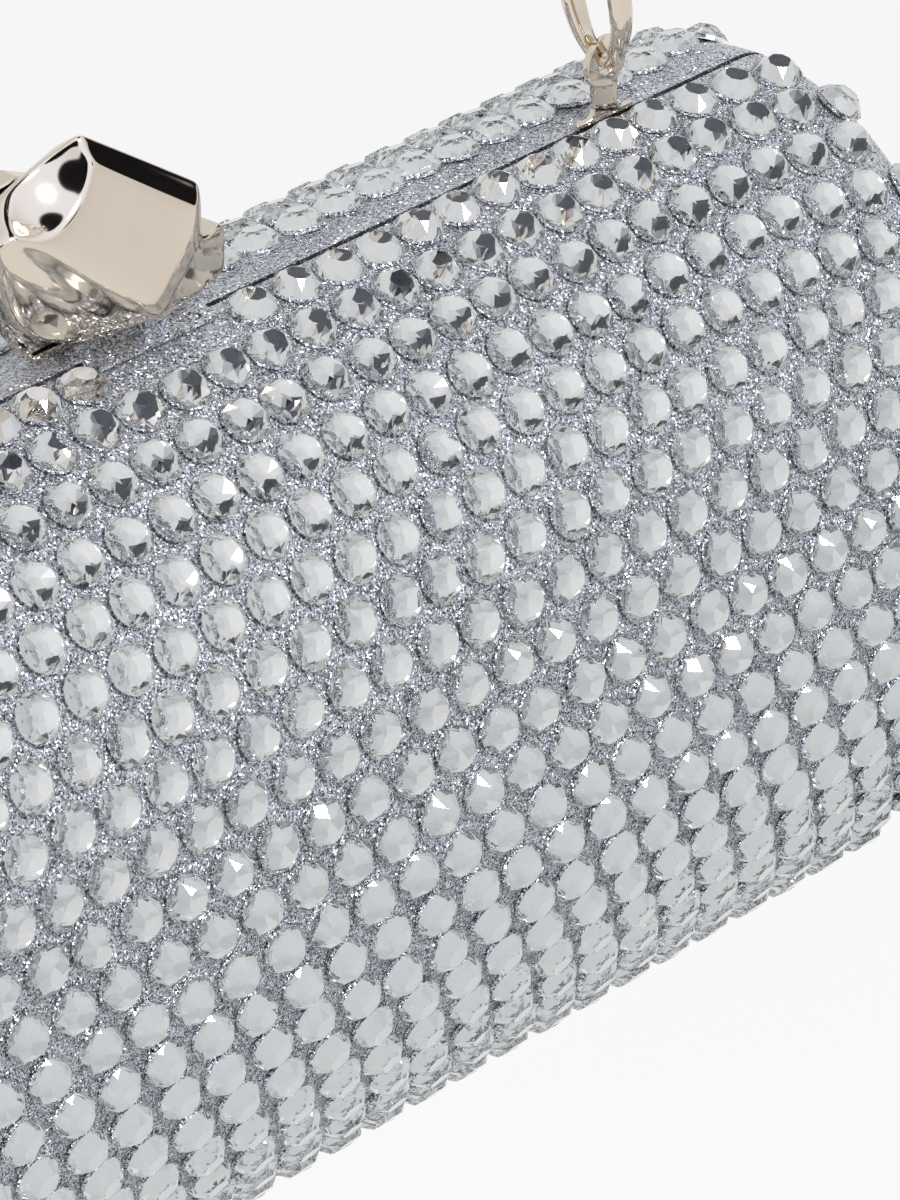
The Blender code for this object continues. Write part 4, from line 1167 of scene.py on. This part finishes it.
def lamp(name, toward, distance, power, size, in_metal):
    """A soft lamp aimed at the bag, which metal mirrors or not and crystals never show."""
    data = bpy.data.lights.new(name, "AREA")
    data.shape = "DISK"
    data.size = size
    data.energy = power
    obj = new_piece(name, data)
    toward = toward.normalized()
    obj.location = CENTRE + toward * distance
    obj.rotation_euler = (-toward).to_track_quat("-Z", "Y").to_euler()
    obj.visible_camera = obj.visible_transmission = False
    obj.visible_glossy = in_metal


def way(azimuth, elevation):
    """Unit vector by compass angle from +X and height, both in degrees."""
    a, e = math.radians(azimuth), math.radians(elevation)
    return Vector((math.cos(a) * math.cos(e), math.sin(a) * math.cos(e), math.sin(e)))


# Where the lamp hangs and where the room is dark overhead, by compass angle and height
LAMP, OVERHEAD = (-86.0, 53.0), (8.0, 70.0)
# The room that the crystals show, from its plain tone on: place, clear and fading degrees, tone
ROOM_TONE = (0.72, 0.715, 0.71)
ROOM = [
    ((-20.0, 0.0), 10.0, 40.0, (0.52, 0.54, 0.58)),
    ((-92.0, 38.0), 10.0, 40.0, (0.86, 0.85, 0.84)),
    (OVERHEAD, 17.0, 24.0, (0.004, 0.009, 0.02)),
    (LAMP, 6.0, 9.0, (2.6, 2.6, 2.6)),
]
# The room that bare metal mirrors
DARK = (0.01, 0.01, 0.012)
METAL_TONE = (0.86, 0.87, 0.88)
METAL_ROOM = [
    ((-90.0, 60.0), 30.0, 75.0, (1.2, 1.28, 1.48)),
    ((-5.0, 4.0), 12.0, 15.0, DARK),
    (OVERHEAD, 17.0, 20.0, DARK),
    ((-142.0, 36.0), 19.0, 22.0, DARK),
    ((-60.0, 16.0), 5.0, 8.0, DARK),
    (LAMP, 8.0, 11.0, (2.0, 2.0, 2.0)),
]


def studio_sky(look):
    """A pale sky for the camera; crystals and metal mirror a studio with a lamp and dark gaps."""
    s = Shader("studio_sky", world=True)
    seen = s.node("TexCoord", out="Generated")

    def painted(tone, spots):
        for place, inner, outer, colour in spots:
            near = s.vector("DOT_PRODUCT", seen, tuple(way(*place)), out="Value")
            low, high = math.cos(math.radians(outer)), math.cos(math.radians(inner))
            tone = s.mix(s.remap(near, low, high, way="SMOOTHSTEP"), tone, colour)
        return tone

    glossy, through = s.path("Glossy"), s.path("Transmission")
    bare = glossy * (1 - through)
    tone = s.mix(bare, painted(ROOM_TONE, ROOM), painted(METAL_TONE, METAL_ROOM))
    light = s.node("Background", Color=(0.95, 0.97, 1.0), Strength=look.sky)
    mirrored = s.node("Background", Color=tone, Strength=1.0)
    pale = s.node("Background", Color=tuple(look.background), Strength=1.0)
    first = s.either((glossy + through).clamped(), light, mirrored)
    return s.finish(s.either(s.path("Camera"), first, pale))


class CLUTCH_OT_stage(bpy.types.Operator):
    """Sets the camera, the pale floor and the studio light"""

    bl_idname = "clutch.stage"
    bl_label = "Stage"

    def execute(self, context):
        scene = context.scene
        look = scene.clutch_stage
        camera = new_piece("camera", bpy.data.cameras.new("camera"))
        right = Vector((0.6825, -0.7308, 0.0091)).normalized()
        forward = Vector((0.6395, 0.5910, -0.4917)).normalized()
        up = right.cross(forward).normalized()
        turn = Matrix((forward.cross(up), up, -forward)).transposed().to_4x4()
        camera.matrix_world = Matrix.Translation(look.eye) @ turn
        camera.data.sensor_fit = "HORIZONTAL"
        camera.data.sensor_width = 36.0
        camera.data.lens = look.lens
        camera.data.clip_start, camera.data.clip_end = 0.01, 20.0
        scene.camera = camera

        bm = bmesh.new()
        bmesh.ops.create_grid(bm, x_segments=1, y_segments=1, size=4.0)
        bm.transform(Matrix.Translation((0, 0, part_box("skin_front")[0].z - look.drop)))
        floor = mesh_piece("floor", bm)
        floor.data.materials.append(floor_paper(tuple(look.background)))
        lamp("key", way(*LAMP), 1.2, 16.0, 0.35, in_metal=True)
        lamp("side", Vector((-0.8, -0.5, 0.5)), 1.4, 9.0, 0.9, in_metal=False)
        scene.world = studio_sky(look)
        scene.view_settings.view_transform = "Standard"
        for kind in ("max", "glossy", "transmission"):
            setattr(scene.cycles, f"{kind}_bounces", look.bounces)
        return {"FINISHED"}


class CLUTCH_PT_panel(bpy.types.Panel):
    """Lists the bag's sizes and its pieces"""

    bl_idname = "CLUTCH_PT_panel"
    bl_label = "Crystal clutch"
    bl_space_type = "VIEW_3D"
    bl_region_type = "UI"
    bl_category = "Clutch"

    def draw(self, context):
        for group in GROUPS.values():
            box = self.layout.box()
            settings = getattr(context.scene, group)
            for name in settings.bl_rna.properties.keys():
                if name not in ("rna_type", "name"):
                    box.prop(settings, name)
        for operator in STEPS:
            self.layout.operator(operator.bl_idname)


GROUPS = {
    PodSizes: "clutch_pod",
    StoneSizes: "clutch_stones",
    ClaspSizes: "clutch_clasp",
    InsideSizes: "clutch_inside",
    ChainSizes: "clutch_chain",
    TabSizes: "clutch_tabs",
    StageLook: "clutch_stage",
}
STEPS = (CLUTCH_OT_stage, CLUTCH_OT_chain, CLUTCH_OT_tabs, CLUTCH_OT_cloth)
STEPS += (CLUTCH_OT_stones, CLUTCH_OT_inside, CLUTCH_OT_clasp)


def register():
    for cls in (*GROUPS, *STEPS, CLUTCH_PT_panel):
        bpy.utils.register_class(cls)
    for cls, name in GROUPS.items():
        setattr(bpy.types.Scene, name, bpy.props.PointerProperty(type=cls))


def unregister():
    for name in GROUPS.values():
        delattr(bpy.types.Scene, name)
    for cls in reversed((*GROUPS, *STEPS, CLUTCH_PT_panel)):
        bpy.utils.unregister_class(cls)


def main():
    register()
    for step in STEPS:
        group, name = step.bl_idname.split(".")
        getattr(getattr(bpy.ops, group), name)()


if __name__ == "__main__":
    main()
